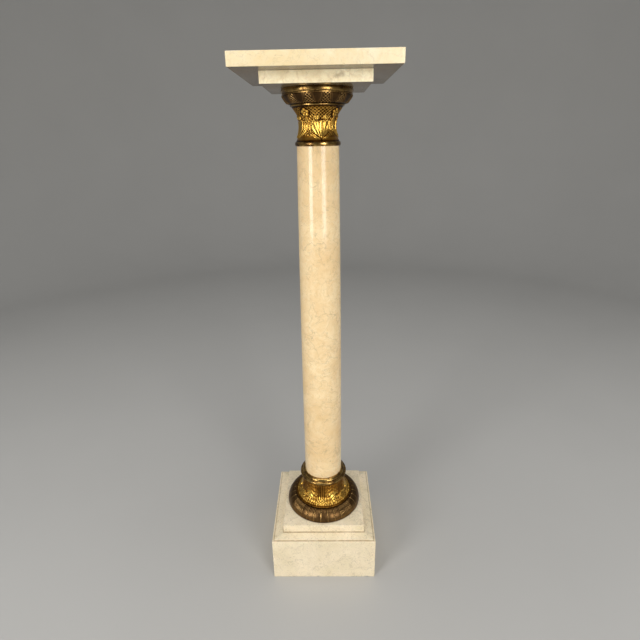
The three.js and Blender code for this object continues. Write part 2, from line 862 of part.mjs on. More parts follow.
const pedestal = new THREE.Group();
pedestal.add(
  groupAt(
    0,
    piece("plinth_block", plinthBlock(), marble),
    piece("step_slab", stepSlab(), marble, stepFoot),
  ),
  groupAt(
    baseMountFoot,
    piece("base_torus", baseTorus(), brownBronze, 0, torusTurn),
    piece("base_collar", baseCollar(), giltBronze, collarFoot, collarTurn),
    piece("neck_ring", neckRing(), giltBronze, ringFoot),
  ),
  groupAt(
    shaftGroupFoot,
    piece("shaft_foot_packing", packing(shaftFootRadius - packingInset), felt),
    piece("shaft", shaft(), marble, shaftFoot),
    piece("shaft_head_packing", packing(shaftHeadRadius - packingInset), felt, headPackingFoot),
  ),
  groupAt(
    capitalFoot,
    piece("astragal_ring", astragalRing(), giltBronze),
    piece("capital_bell", capitalBell(), giltBronze, bellFoot, bellTurn),
    piece("fillet_ring", filletRing(), giltBronze, filletFoot),
    piece("capital_echinus", capitalEchinus(), brownBronze, echinusFoot, echinusTurn),
    piece("capital_top_ring", topRing(), giltBronze, topRingFoot),
  ),
  groupAt(
    topGroupFoot,
    piece("abacus_slab", abacusSlab(), marble),
    piece("top_slab", topSlab(), marble, topSlabFoot),
  ),
  groupAt(
    0,
    piece("tie_rod", tieRod(rodLength), iron, rodFoot),
    piece("foot_washer", washer(footWasherRadius), iron, footWasherTop - washerThickness),
    piece("foot_nut", nut(), iron, footNutTop - nutHeight),
    piece("head_washer", washer(headWasherRadius), iron, headWasherFoot),
    piece("head_nut", nut(), iron, headNutFoot),
  ),
);
dowelPlaces().forEach((x, i) => {
  const pin = disc(dowelRadius, 0, dowelLength, smallFacets);
  const dowel = piece(["left_dowel", "right_dowel"][i], pin, iron, topGroupFoot + dowelFoot);
  dowel.position.x = x;
  pedestal.add(dowel);
});

export default pedestal;
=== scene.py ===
"""Pedestal column stand of cream marble with cast bronze mounts, dressed over its CAD frame.

Blender units are metres. Profiles and ornament are worked out in millimetres, as a maker would
measure them, and angles round the axis start at the front (-Y) and grow towards +X.
"""

import math
from types import SimpleNamespace

import bpy
import numpy as np
from bpy.props import FloatProperty, FloatVectorProperty, IntProperty, PointerProperty
from mathutils import Matrix, Vector


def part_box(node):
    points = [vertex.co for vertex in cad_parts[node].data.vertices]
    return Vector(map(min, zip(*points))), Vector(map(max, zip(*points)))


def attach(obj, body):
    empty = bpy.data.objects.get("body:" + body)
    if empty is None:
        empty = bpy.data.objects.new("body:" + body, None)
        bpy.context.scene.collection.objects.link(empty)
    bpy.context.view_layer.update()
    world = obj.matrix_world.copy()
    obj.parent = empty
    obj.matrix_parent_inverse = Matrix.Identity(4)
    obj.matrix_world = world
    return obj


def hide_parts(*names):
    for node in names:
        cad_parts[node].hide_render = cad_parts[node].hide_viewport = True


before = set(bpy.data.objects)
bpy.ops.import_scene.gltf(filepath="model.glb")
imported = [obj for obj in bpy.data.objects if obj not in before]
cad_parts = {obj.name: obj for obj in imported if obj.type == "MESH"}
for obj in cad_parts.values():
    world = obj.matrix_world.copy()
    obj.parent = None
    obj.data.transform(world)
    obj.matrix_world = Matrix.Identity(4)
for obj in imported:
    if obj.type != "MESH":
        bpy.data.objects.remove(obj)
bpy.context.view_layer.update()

bl_info = {
    "name": "Pedestal column stand",
    "version": (1, 0, 0),
    "blender": (4, 5, 0),
    "location": "View3D > Sidebar > Pedestal",
    "description": "Marble pedestal column with cast bronze mounts",
    "category": "Add Mesh",
}

MM = 0.001
HAIRLINE = 0.05  # mm between two faces that rest on each other
TURN = 2 * math.pi
SECTORS = 16  # equal sectors of a turned piece
SEAM = 0.002  # mm within which the seam of a turned piece is joined
OVERCUT = 1  # mm that a drill runs past the face it starts from
POCKET_ROOM = 0.4  # mm of play round the shaft in a ring's pocket
BORE_END = 2  # mm of stone left above a slab's bore, where a piece above hides it


# ---- Sizes and colours ----------------------------------------------------------------------


def linear(code):
    """An sRGB colour such as "#F0DFBE" as linear red, green and blue."""
    shares = [int(code[i : i + 2], 16) / 255 for i in (1, 3, 5)]
    return tuple(s / 12.92 if s <= 0.04045 else ((s + 0.055) / 1.055) ** 2.4 for s in shares)


def length(name, millimetres, description):
    """A length property whose default is given in millimetres."""
    return FloatProperty(
        name=name, description=description, default=millimetres * MM, min=0, unit="LENGTH"
    )


def colour(name, code, description):
    """A colour property whose default is given in sRGB."""
    return FloatVectorProperty(
        name=name, description=description, default=linear(code), min=0, max=1, subtype="COLOR"
    )


def power(name, watts, description):
    """The power of a light."""
    return FloatProperty(name=name, description=description, default=watts, unit="POWER")


def repeats(name, count, place):
    """How many of a motif go round a casting."""
    return IntProperty(name=name, description=f"{name} round the {place}", default=count, min=1)


def turn_about_axis(degrees):
    """How far a casting is turned on the pile, from one with a motif at the front."""
    return FloatProperty(
        name="Turn", description="As it stands on the pile", default=math.radians(degrees), subtype="ANGLE"
    )


def half_side(node):
    """Half the width of a solid of the frame, in millimetres."""
    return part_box(node)[1].x / MM


def foot_of(node):
    """The height of its underside, in millimetres."""
    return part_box(node)[0].z / MM


def top_of(node):
    """The height of its upper side, in millimetres."""
    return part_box(node)[1].z / MM


class StoneSizes(bpy.types.PropertyGroup):
    arris: length("Arris", 0.9, "Eased edge of every slab")
    plinth_ledge: length("Plinth ledge", 4.5, "Flat ledge round the plinth's top edge")
    plinth_fillet: length("Plinth fillet", 1.8, "Small upright step inside the ledge")
    plinth_fall: length("Plinth fall", 2.7, "Slope from the fillet up to the step slab")
    shaft_foot: length("Shaft foot", 42.5, "Radius of the shaft at its foot")
    shaft_head: length("Shaft head", 38.2, "Radius of the shaft at its head")
    shaft_straight: length("Shaft straight", 120, "Straight stretch below the entasis")
    bore: length("Bore", 9, "Radius of the hole for the tie rod")
    recess: length("Recess", 30, "Radius of the recess under the plinth")
    recess_depth: length("Recess depth", 26.1, "Depth of the recess under the plinth")
    chip: length("Chip", 2.2, "Typical radius of a chip in a worn arris")


class MountSizes(bpy.types.PropertyGroup):
    torus_toe: length("Torus toe", 2.7, "Height of the torus's widest line")
    torus_tuck: length("Torus tuck", 2.0, "How far the torus draws in at its foot")
    torus_top: length("Torus top", 66, "Radius of the torus's flat top")
    collar_bead: length("Collar bead", 67, "Radius of the bead at the collar's foot")
    collar_bead_height: length("Collar bead height", 3.2, "Height of that bead")
    collar_neck: length("Collar neck", 46, "Radius of the collar under the neck ring")
    collar_neck_height: length("Collar neck height", 3, "Straight stretch under the neck ring")
    ring_radius: length("Neck ring", 54.3, "Radius of the neck ring's swell")
    ring_undercut: length("Neck ring undercut", 4, "Height of the hollow under its swell")
    ring_swell: length("Neck ring swell", 8, "Height of its swell")
    ring_lip: length("Neck ring lip", 49.6, "Radius of its upper lip")
    bell_foot: length("Bell foot", 38.9, "Radius of the bell at its foot")
    bell_neck: length("Bell neck", 31.6, "Radius of the bell's waist")
    bell_neck_height: length("Bell neck height", 25.2, "Height of the bell's waist")
    bell_lip: length("Bell lip", 45.6, "Radius of the bell at its lip")
    fillet_radius: length("Fillet ring", 48, "Radius of the fillet ring")
    astragal_radius: length("Astragal", 41.3, "Radius of the ring round the shaft's head")
    echinus_foot: length("Echinus foot", 48.4, "Radius of the echinus at its foot")
    echinus_rim: length("Echinus rim", 61.5, "Radius of the echinus at its rim")
    echinus_rim_height: length("Echinus rim height", 1.3, "Height of its rim")
    echinus_belly: length("Echinus belly", 9, "How far its curve swells before it turns under")
    top_ring: length("Top ring", 63, "Radius of the ring under the abacus")
    top_ring_groove: length("Top ring groove", 0.9, "Height of the dark joint under it")
    top_ring_shoulder: length("Top ring shoulder", 59.3, "Radius of that joint")
    wall: length("Wall", 4, "Wall of the hollow castings")


class OrnamentSizes(bpy.types.PropertyGroup):
    trellis_pitch: length("Trellis pitch", 5.9, "Spacing of the diagonal trellis")
    trellis_rise: length("Trellis rise", 0.75, "Height of the trellis bars")
    shield_tip: length("Shield tip", 5.5, "Shield's tip above the bell's foot, along the metal")
    shield_height: length("Shield height", 32.5, "Height of each shield")
    shield_half: length("Shield half width", 16.4, "Half width of each shield")
    shield_point: length("Shield point", 17, "Height over which it comes to its point")
    shield_rise: length("Shield rise", 1.7, "How far a shield stands off the bell")
    scroll_radius: length("Scroll radius", 5.2, "Outer radius of each scroll")
    scroll_eye: length("Scroll eye", 1.7, "Inner radius of each scroll")
    scroll_offset: length("Scroll offset", 7.5, "Scroll's centre from the shield's centre line")
    scroll_rise: length("Scroll rise", 2.3, "How far a scroll stands off the bell")
    flower_drop: length("Flower drop", 13, "From the bell's lip to the flower's heart")
    flower_radius: length("Flower radius", 8.2, "Radius of each flower")
    flower_rise: length("Flower rise", 1.9, "How far a petal stands off the bell")
    pendant_length: length("Pendant length", 14, "Length of the leaf under each flower")
    tongue_length: length("Tongue length", 16, "Length of each tongue of the echinus")
    tongue_half: length("Tongue half width", 10.6, "Half width of each tongue")
    tongue_rise: length("Tongue rise", 1.3, "How far a tongue stands off the echinus")
    leaf_length: length("Leaf length", 38, "Length of each leaf of the collar")
    leaf_half: length("Leaf half width", 14, "Half width of each leaf")
    leaf_rise: length("Leaf rise", 2.6, "How far a leaf stands off the collar")
    reed_length: length("Reed length", 20, "Length of the fine reeds at the neck")
    reed_rise: length("Reed rise", 0.8, "Height of those reeds")
    panel_rise: length("Panel rise", 0.7, "Crown of each panel of the torus")


class StoneColours(bpy.types.PropertyGroup):
    shaft: colour("Shaft", "#EED6AA", "Main colour of the shaft's marble")
    shaft_cloud: colour("Shaft cloud", "#E0C08E", "Deeper patches in the shaft")
    top: colour("Top", "#E9DCBC", "Main colour of the top slab")
    top_cloud: colour("Top cloud", "#E3CC9E", "Deeper patches in top slab and abacus")
    # Painted light: the abacus is coloured lighter than the top so that its front, shaded by the top
    # slab's overhang, comes out as bright as the top's.
    abacus: colour("Abacus", "#FFF2CE", "Main colour of the abacus, a lighter stone")
    plinth: colour("Plinth", "#EFDFC1", "Main colour of plinth and step")
    plinth_cloud: colour("Plinth cloud", "#E2D2B0", "Greyer patches in them")
    vein: colour("Vein", "#918069", "The grey of the veins")


class BronzeColours(bpy.types.PropertyGroup):
    gilt: colour("Gilt", "#EBC05C", "Rubbed gilding on what stands proud")
    gilt_mid: colour("Gilt mid", "#9C6B26", "Gilding that keeps its film of dirt")
    gilt_hollow: colour("Gilt hollow", "#2E1C0B", "Dark film in the hollows")
    ring: colour("Ring", "#C29E5C", "Polished rings")
    ring_film: colour("Ring film", "#5A4022", "Brown film on the rings")
    brown: colour("Brown", "#A88550", "Rubbed parts of the brown bronze")
    brown_mid: colour("Brown mid", "#61472A", "Its brown patina")
    brown_hollow: colour("Brown hollow", "#20150A", "Its hollows")


class StudioSettings(bpy.types.PropertyGroup):
    lens: FloatProperty(name="Lens", description="Focal length", default=25.3, unit="CAMERA")
    left_power: power("Left power", 32, "Tall soft box at the front left")
    right_power: power("Right power", 29, "Tall soft box at the front right")
    top_power: power("Top power", 38, "Wide soft box overhead")
    left_fill_power: power("Left fill power", 7, "Weak fill from the left")
    right_fill_power: power("Right fill power", 11.9, "Weak fill from the right")
    world_strength: FloatProperty(name="Fill", description="Grey fill from all round", default=0.25)
    floor: colour("Floor", "#B4B2AE", "The plain studio floor")


GROUPS = {
    "pedestal_stone": StoneSizes,
    "pedestal_mounts": MountSizes,
    "pedestal_ornament": OrnamentSizes,
    "pedestal_stone_colours": StoneColours,
    "pedestal_bronze_colours": BronzeColours,
    "pedestal_studio": StudioSettings,
}


def sizes_of(scene):
    """Every length of the stone, the mounts and their ornament, in millimetres."""
    sizes = SimpleNamespace()
    for group in (scene.pedestal_stone, scene.pedestal_mounts, scene.pedestal_ornament):
        for name in type(group).__annotations__:
            setattr(sizes, name, getattr(group, name) / MM)
    return sizes


# ---- Modelling -------------------------------------------------------------------------------


def start_piece():
    """Leaves nothing selected, so that the next operators act on the new piece alone."""
    if bpy.context.object and bpy.context.object.mode != "OBJECT":
        bpy.ops.object.mode_set(mode="OBJECT")
    bpy.ops.object.select_all(action="DESELECT")


def finish_piece(name, sharp=35):
    """Names the active piece, puts its place into its mesh and smooths it up to an angle."""
    piece = bpy.context.object
    bpy.ops.object.mode_set(mode="OBJECT")
    bpy.ops.object.transform_apply(location=True, rotation=True, scale=True)
    bpy.ops.object.shade_smooth_by_angle(angle=math.radians(sharp))
    piece.name = name
    piece.data.name = name
    return piece


def turned(name, profile, steps, sharp=35):
    """Spins a closed profile of (radius, height) in millimetres about the upright axis.

    One sector is spun and then repeated, which takes far less time than a full turn of steps.
    """
    start_piece()
    first = (profile[0][0] * MM, 0, profile[0][1] * MM)
    bpy.ops.mesh.primitive_plane_add(size=MM, location=first)
    bpy.ops.object.mode_set(mode="EDIT")
    bpy.ops.mesh.select_mode(type="VERT")
    bpy.ops.mesh.merge(type="CENTER")
    for (radius, height), (next_radius, next_height) in zip(profile, profile[1:] + profile[:1]):
        move = ((next_radius - radius) * MM, 0, (next_height - height) * MM)
        bpy.ops.mesh.extrude_vertices_move(TRANSFORM_OT_translate={"value": move})
    sector = TURN / SECTORS
    spins = ((steps // SECTORS, sector, False), (SECTORS - 1, TURN - sector, True))
    for count, angle, copies in spins:
        bpy.ops.mesh.select_all(action="SELECT")
        bpy.ops.mesh.spin(steps=count, angle=angle, dupli=copies, center=(0, 0, 0), axis=(0, 0, 1))
    bpy.ops.mesh.select_all(action="SELECT")
    bpy.ops.mesh.remove_doubles(threshold=SEAM * MM)
    bpy.ops.mesh.normals_make_consistent(inside=False)
    return finish_piece(name, sharp)


def arc(centre, radii, start, end, steps):
    """Points of an ellipse's arc as (radius, height); 0 degrees points outwards, 90 up."""
    angles = [math.radians(start + (end - start) * i / steps) for i in range(steps + 1)]
    return [
        (centre[0] + radii[0] * math.cos(a), centre[1] + radii[1] * math.sin(a)) for a in angles
    ]


def rounded(outer, depth, foot, top, reach, steps):
    """The rounded outer edge of a ring from foot to top; reach is how far it turns, in degrees."""
    half = (top - foot) / 2
    return arc((outer - depth, foot + half), (depth, half), -reach, reach, steps)


def block(half, foot, top):
    """A square block as the active piece, in edit mode, all selected."""
    start_piece()
    bpy.ops.mesh.primitive_cube_add(size=1, location=(0, 0, (foot + top) / 2 * MM))
    bpy.ops.object.mode_set(mode="EDIT")
    bpy.ops.transform.resize(value=(2 * half * MM, 2 * half * MM, (top - foot) * MM))


def select_top_face(piece):
    """Selects the one face that looks up and lies highest."""
    bpy.ops.mesh.select_mode(type="FACE")
    bpy.ops.mesh.select_all(action="DESELECT")
    bpy.ops.object.mode_set(mode="OBJECT")
    upper = max(piece.data.polygons, key=lambda face: (face.normal.z > 0.99, face.center.z))
    upper.select = True
    bpy.ops.object.mode_set(mode="EDIT")


def ease_edges(width):
    """Rounds every edge of the piece in edit mode."""
    bpy.ops.mesh.select_all(action="SELECT")
    bpy.ops.mesh.bevel(offset=width * MM, segments=3, profile=0.6)


def cut(piece, *cutters):
    """Takes the cutters out of a piece and deletes them."""
    for cutter in cutters:
        start_piece()
        piece.select_set(True)
        bpy.context.view_layer.objects.active = piece
        modifier = piece.modifiers.new("Cut", "BOOLEAN")
        modifier.object = cutter
        modifier.solver = "EXACT"
        modifier.use_self = True
        bpy.ops.object.modifier_apply(modifier=modifier.name)
        bpy.data.objects.remove(cutter)


def drill(radius, foot, top):
    """A cylinder to be cut out of stone."""
    start_piece()
    middle = (0, 0, (foot + top) / 2 * MM)
    depth = (top - foot) * MM
    bpy.ops.mesh.primitive_cylinder_add(vertices=96, radius=radius * MM, depth=depth, location=middle)
    return bpy.context.object


def chips(half, foot, top, radius, count, seed):
    """Small irregular stones along the arrises of a slab, to be cut out as chips.

    Every third one lies on an upright corner, and the others along the top and bottom edges.
    Each stands mostly clear of the slab, so that it only grazes the arris.
    """
    random = np.random.default_rng(seed)
    start_piece()
    made = []
    for i in range(count):
        size = radius * random.uniform(0.5, 1.4)
        clear = size * random.uniform(0.5, 0.8)
        along = random.uniform(-1, 1) * half
        if i % 3:
            x, y = (half + clear, along) if random.random() < 0.5 else (along, half + clear)
            z = random.choice((foot, top))
        else:
            x = y = half + 0.4 * clear
            z = random.uniform(foot, top)
        x, y = x * random.choice((-1, 1)), y * random.choice((-1, 1))
        place = (x * MM, y * MM, z * MM)
        bpy.ops.mesh.primitive_ico_sphere_add(subdivisions=2, radius=size * MM, location=place)
        stone = bpy.context.object
        stone.scale = random.uniform(0.7, 1.7, 3)
        stone.rotation_euler = random.uniform(0, math.pi, 3)
        made.append(stone)
    for stone in made:
        stone.select_set(True)
    bpy.ops.object.join()
    return bpy.context.object


# ---- Relief ----------------------------------------------------------------------------------


def press_relief(piece, skin, relief, plain):
    """Raises the skin of a spun casting by relief(angle, climb, radius), all in millimetres.

    skin is the stretch of its profile that carries ornament, foot first, and climb is the way
    up that stretch along the metal. relief gives the rise and how far the metal is rubbed, from
    0 in a dark hollow to 1 on a bright edge. The latter goes into the attribute "rubbed", which
    the metal's finish reads; plain is its value where there is no ornament.
    """
    mesh = piece.data
    places = np.empty(3 * len(mesh.vertices))
    mesh.vertices.foreach_get("co", places)
    places = places.reshape(-1, 3) / MM
    radius = np.hypot(places[:, 0], places[:, 1])
    rows = np.array(skin)
    steps = np.hypot(*np.diff(rows, axis=0).T)
    climbs = np.concatenate([[0], np.cumsum(steps)])
    headings = np.gradient(rows, climbs, axis=0)
    headings /= np.hypot(*headings.T)[:, None]
    gaps = np.full(len(radius), np.inf)
    nearest = np.zeros(len(radius), int)
    for i, (row_radius, row_height) in enumerate(rows):
        gap = np.hypot(radius - row_radius, places[:, 2] - row_height)
        closer = gap < gaps
        gaps[closer] = gap[closer]
        nearest[closer] = i
    on_skin = gaps < 0.01
    row = nearest[on_skin]
    angle = np.arctan2(places[on_skin, 0], -places[on_skin, 1])
    out, worn = relief(angle, climbs[row], radius[on_skin])
    reach = radius[on_skin] + out * headings[row, 1]
    places[on_skin, 0] = reach * np.sin(angle)
    places[on_skin, 1] = -reach * np.cos(angle)
    places[on_skin, 2] -= out * headings[row, 0]
    mesh.vertices.foreach_set("co", (places * MM).ravel())
    rubbed = np.full(len(radius), float(plain))
    rubbed[on_skin] = np.clip(worn, 0, 1)
    mesh.attributes.new("rubbed", "FLOAT", "POINT").data.foreach_set("value", rubbed)
    mesh.update()


def ramp(x, low, high):
    """A smooth step from 0 at low to 1 at high."""
    share = np.clip((x - low) / (high - low), 0, 1)
    return share * share * (3 - 2 * share)


def dome(share):
    """A half circle's height, 1 in the middle and 0 from a share of 1 outwards."""
    return np.sqrt(np.clip(1 - share * share, 0, 1))


def across(angle, count, radius, start=0.0):
    """Millimetres of arc from the nearest of `count` centre lines."""
    pitch = TURN / count
    turn = angle - start
    return (turn - pitch * np.round(turn / pitch)) * radius


def bar(phase, width):
    """1 on each whole number of phase, falling away over width."""
    return np.exp(-(((phase - np.round(phase)) / width) ** 2))


def trellis(angle, climb, radius, pitch):
    """Crossed diagonal bars, 0 to 1. A whole number of them goes round."""
    count = round(TURN * float(np.mean(radius)) / pitch / 2) * 2
    turn = count * angle / TURN
    return np.maximum(bar(turn + climb / pitch, 0.12), bar(turn - climb / pitch, 0.12))


def ridge(gap, half):
    """1 along a line, falling away over half a width."""
    return np.exp(-((gap / half) ** 2))


def scatter(index):
    """A fixed but irregular number from 0 to 1 for each whole number."""
    return np.modf(np.abs(np.sin(index * 12.9898) * 43758.5453))[0]


def mound(inside, edge):
    """1 well inside a motif, falling to 0 at its outline; inside is the way in, in mm."""
    return ramp(inside, 0, edge)


def distance_to(side, climb, path):
    """Distance to the nearest point of a path, and how far along it that point is, 0 to 1."""
    best = np.full(len(side), np.inf)
    share = np.zeros(len(side))
    for i, (x, y) in enumerate(path):
        gap = np.hypot(side - x, climb - y)
        closer = gap < best
        best[closer] = gap[closer]
        share[closer] = i / (len(path) - 1)
    return best, share


def leaf_outline(share, lobes, notch):
    """Half width of a lobed leaf as a share of its widest, from tip (0) to stem (1)."""
    lobed = 1 - notch * np.abs(np.cos(lobes * math.pi * share)) ** 1.5
    return np.sin(math.pi * (0.1 + 0.77 * share)) * lobed


# ---- Materials -------------------------------------------------------------------------------


def node(tree, kind, inputs=None, out=0, **settings):
    """Adds a node and hands back one of its outputs.

    inputs maps each socket to a value or to the output that feeds it.
    """
    made = tree.nodes.new("ShaderNode" + kind)
    for name, value in settings.items():
        setattr(made, name, value)
    for socket, value in (inputs or {}).items():
        if isinstance(value, bpy.types.NodeSocket):
            tree.links.new(value, made.inputs[socket])
        else:
            made.inputs[socket].default_value = value
    return made.outputs[out]


def new_material(name):
    """A node material with its shader, and its Object coordinates in millimetres."""
    made = bpy.data.materials.new(name)
    made.use_nodes = True
    tree = made.node_tree
    shader = tree.nodes["Principled BSDF"]
    place = node(tree, "TexCoord", out="Object")
    grain = node(tree, "Mapping", {"Vector": place, "Scale": (1 / MM, 1 / MM, 1 / MM)})
    return made, tree, shader, grain


def laid_over(tree, base, tint, pattern, low, high, amount=1.0):
    """The colour base with a tint laid over it where a pattern passes from low to high."""
    share = node(tree, "MapRange", {0: pattern, 1: low, 2: high, 4: amount})
    return node(tree, "Mix", {0: share, 6: base, 7: (*tint, 1)}, out=2, data_type="RGBA")


def finished(made, tree, shader, base, dull=None, bump=None, metallic=0.0):
    """Leads colour, roughness and bump to the shader and hands back the material."""
    shader.inputs["Metallic"].default_value = metallic
    for socket, feed in (("Base Color", base), ("Roughness", dull), ("Normal", bump)):
        if feed:
            tree.links.new(feed, shader.inputs[socket])
    return made


def crease_dirt_and_shade(tree, base, place, creases):
    """Brown dirt and painted shade along lines round the axis: (square or round, radius, height) in
    millimetres.
    """
    parts = node(tree, "SeparateXYZ", {0: place}).node.outputs
    x, y = (node(tree, "Math", {0: parts[i]}, operation="ABSOLUTE") for i in (0, 1))
    flat = node(tree, "VectorMath", {0: place, 1: (1, 1, 0)}, operation="MULTIPLY")
    reach = {
        "square": node(tree, "Math", {0: x, 1: y}, operation="MAXIMUM"),
        "round": node(tree, "VectorMath", {0: flat}, out="Value", operation="LENGTH"),
    }
    uneven = node(tree, "TexNoise", {"Vector": place, "Scale": 1 / 9, "Detail": 4.0})
    share = node(tree, "MapRange", {0: uneven, 1: 0.3, 2: 0.6, 3: 0.5, 4: 0.85})
    # Painted shade as well as dirt: edge and heart are millimetres from the crease line.
    edge, heart = 2.2, 0.4  # mm from the line where the dirt starts and where it is full
    for shape, radius, height in creases:
        spot = node(tree, "CombineXYZ", {0: reach[shape], 1: parts[2]})
        gap = node(tree, "VectorMath", {0: spot, 1: (radius, height, 0)}, "Value", operation="DISTANCE")
        near = node(tree, "MapRange", {0: gap, 1: edge, 2: heart})
        amount = node(tree, "Math", {0: near, 1: share}, operation="MULTIPLY")
        base = laid_over(tree, base, linear("#8A6E48"), amount, 0, 1)
    return base


def marble(name, cream, cloud, vein, veining, specks, roughness, stains=(), creases=()):
    """Polished cream marble: soft clouds, broken grey hairlines, a fine mottle and a few specks.

    The eye gets a warm stone with a little depth, whose polish shows as a clear but soft gloss.
    """
    made, tree, shader, place = new_material(name)
    # Two drifts pull the pattern out of shape: mm across each, and mm it pushes.
    warped = place
    for size, push in ((55, 46.0), (13, 7.0)):
        drift = node(tree, "TexNoise", {"Vector": place, "Scale": 1 / size, "Detail": 3.0}, "Color")
        shift = {0: drift, 1: (0.5, 0.5, 0.5)}
        centred = node(tree, "VectorMath", shift, operation="SUBTRACT")
        pushed = node(tree, "VectorMath", {0: centred, "Scale": push}, operation="SCALE")
        warped = node(tree, "VectorMath", {0: warped, 1: pushed}, operation="ADD")
    clouds = node(tree, "TexNoise", {"Vector": warped, "Scale": 1 / 60, "Detail": 6.0, "Roughness": 0.6})
    base = laid_over(tree, (*cream, 1), cloud, clouds, 0.36, 0.66)
    mottle = node(tree, "TexNoise", {"Vector": warped, "Scale": 1 / 9, "Detail": 4.0, "Roughness": 0.65})
    base = laid_over(tree, base, cloud, mottle, 0.46, 0.7, 0.75)
    # Veins lie where a field crosses its middle: mm between them, their width in it, strength.
    for size, width, strength in ((52, 0.013, 0.6), (27, 0.018, 0.55), (13, 0.03, 0.45)):
        offset = node(tree, "VectorMath", {0: warped, 1: (3.0 * size,) * 3}, operation="ADD")
        field = node(tree, "TexNoise", {"Vector": offset, "Scale": 1 / size, "Detail": 4.0})
        level = node(tree, "Math", {0: field, 1: 0.5}, operation="SUBTRACT")
        gap = node(tree, "Math", {0: level}, operation="ABSOLUTE")
        line = node(tree, "MapRange", {0: gap, 1: width, 2: 0.0})
        patch = node(tree, "TexNoise", {"Vector": offset, "Scale": 0.7 / size, "Detail": 2.0})
        broken = node(tree, "MapRange", {0: patch, 1: 0.42, 2: 0.62, 4: veining * strength})
        amount = node(tree, "Math", {0: line, 1: broken}, operation="MULTIPLY")
        base = laid_over(tree, base, vein, amount, 0, 1)
    dots = node(tree, "TexNoise", {"Vector": place, "Scale": 1 / 2.6, "Detail": 2.0})
    base = laid_over(tree, base, vein, dots, 0.6, 0.78, specks)
    for centre, size in stains:
        wander = node(tree, "VectorMath", {0: centred, "Scale": 9.0}, operation="SCALE")  # mm
        near = node(tree, "VectorMath", {0: place, 1: wander}, operation="ADD")
        ragged = node(tree, "TexNoise", {"Vector": place, "Scale": 1 / 4, "Detail": 3.0})
        gap = node(tree, "VectorMath", {0: near, 1: centre}, "Value", operation="DISTANCE")
        edge = node(tree, "MapRange", {0: gap, 1: size, 2: 0.3 * size, 4: 0.9})
        mark = node(tree, "Math", {0: edge, 1: ragged}, operation="MULTIPLY")
        base = laid_over(tree, base, vein, mark, 0, 1)
    # Partly dirt, partly painted shade: darker along the creases where the slabs and the torus meet.
    if creases:
        base = crease_dirt_and_shade(tree, base, place, creases)
    # Painted shade: a brown tint on the faces that look down stands in for the shade under the slabs.
    facing = node(tree, "NewGeometry", out="Normal")
    upward = node(tree, "SeparateXYZ", {0: facing}, out=2)
    base = laid_over(tree, base, linear("#5C4A34"), upward, -0.7, -0.95, 0.9)
    grains = node(tree, "TexNoise", {"Vector": place, "Scale": 1 / 1.6, "Detail": 4.0})
    duller = roughness + 0.07
    dull = node(tree, "MapRange", {0: mottle, 1: 0.3, 2: 0.7, 3: roughness, 4: duller})
    bump = node(tree, "Bump", {"Height": grains, "Strength": 0.05, "Distance": 0.2 * MM})
    shader.inputs["IOR"].default_value = 1.56
    shader.inputs["Specular IOR Level"].default_value = 0.35
    shader.inputs["Subsurface Weight"].default_value = 0.12
    shader.inputs["Subsurface Radius"].default_value = (0.006, 0.004, 0.0025)
    shader.inputs["Subsurface Scale"].default_value = 1.0
    return finished(made, tree, shader, base, dull, bump)


def cast_bronze(name, bright, mid, hollow, gloss):
    """Cast and chased bronze: bright where hands have rubbed it, dark film in the hollows.

    The eye gets crisp ornament, because the attribute "rubbed" darkens and dulls what lies deep.
    """
    made, tree, shader, place = new_material(name)
    rubbing = node(tree, "Attribute", out="Fac", attribute_name="rubbed")
    patches = node(tree, "TexNoise", {"Vector": place, "Scale": 1 / 14, "Detail": 5.0, "Roughness": 0.65})
    shift = node(tree, "MapRange", {0: patches, 1: 0.25, 2: 0.75, 3: -0.16, 4: 0.16})
    level = node(tree, "Math", {0: rubbing, 1: shift}, operation="ADD")
    base = laid_over(tree, (*mid, 1), bright, level, 0.4, 0.95)
    base = laid_over(tree, base, hollow, level, 0.38, 0.0)
    dull = node(tree, "MapRange", {0: level, 1: 0.0, 2: 0.9, 3: gloss + 0.22, 4: gloss})
    pits = node(tree, "TexNoise", {"Vector": place, "Scale": 1 / 0.9, "Detail": 3.0})
    bump = node(tree, "Bump", {"Height": pits, "Strength": 0.22, "Distance": 0.25 * MM})
    return finished(made, tree, shader, base, dull, bump, metallic=1.0)


def turned_bronze(name, bright, film):
    """Turned and polished bronze: fine lathe lines round it, and patches of brown film.

    The eye gets short bright lights on a ring that is dark between them.
    """
    made, tree, shader, place = new_material(name)
    patches = node(tree, "TexNoise", {"Vector": place, "Scale": 1 / 11, "Detail": 5.0, "Roughness": 0.6})
    base = laid_over(tree, (*bright, 1), film, patches, 0.34, 0.62)
    lathe = node(tree, "Mapping", {"Vector": place, "Scale": (0.02, 0.02, 2.2)})
    lines = node(tree, "TexNoise", {"Vector": lathe, "Scale": 1.0, "Detail": 2.0})
    bump = node(tree, "Bump", {"Height": lines, "Strength": 0.06, "Distance": 0.1 * MM})
    dull = node(tree, "MapRange", {0: patches, 1: 0.3, 2: 0.7, 3: 0.16, 4: 0.32})
    return finished(made, tree, shader, base, dull, bump, metallic=1.0)


def wrought_iron(name):
    """Wrought iron, dull and a little rusted where nobody sees it."""
    made, tree, shader, place = new_material(name)
    rust = node(tree, "TexNoise", {"Vector": place, "Scale": 1 / 6, "Detail": 6.0, "Roughness": 0.7})
    iron = (*linear("#4B4846"), 1)
    base = laid_over(tree, iron, linear("#6B3F26"), rust, 0.45, 0.62)
    dull = node(tree, "MapRange", {0: rust, 1: 0.4, 2: 0.65, 3: 0.45, 4: 0.85})
    bump = node(tree, "Bump", {"Height": rust, "Strength": 0.4, "Distance": 0.3 * MM})
    return finished(made, tree, shader, base, dull, bump, metallic=0.8)


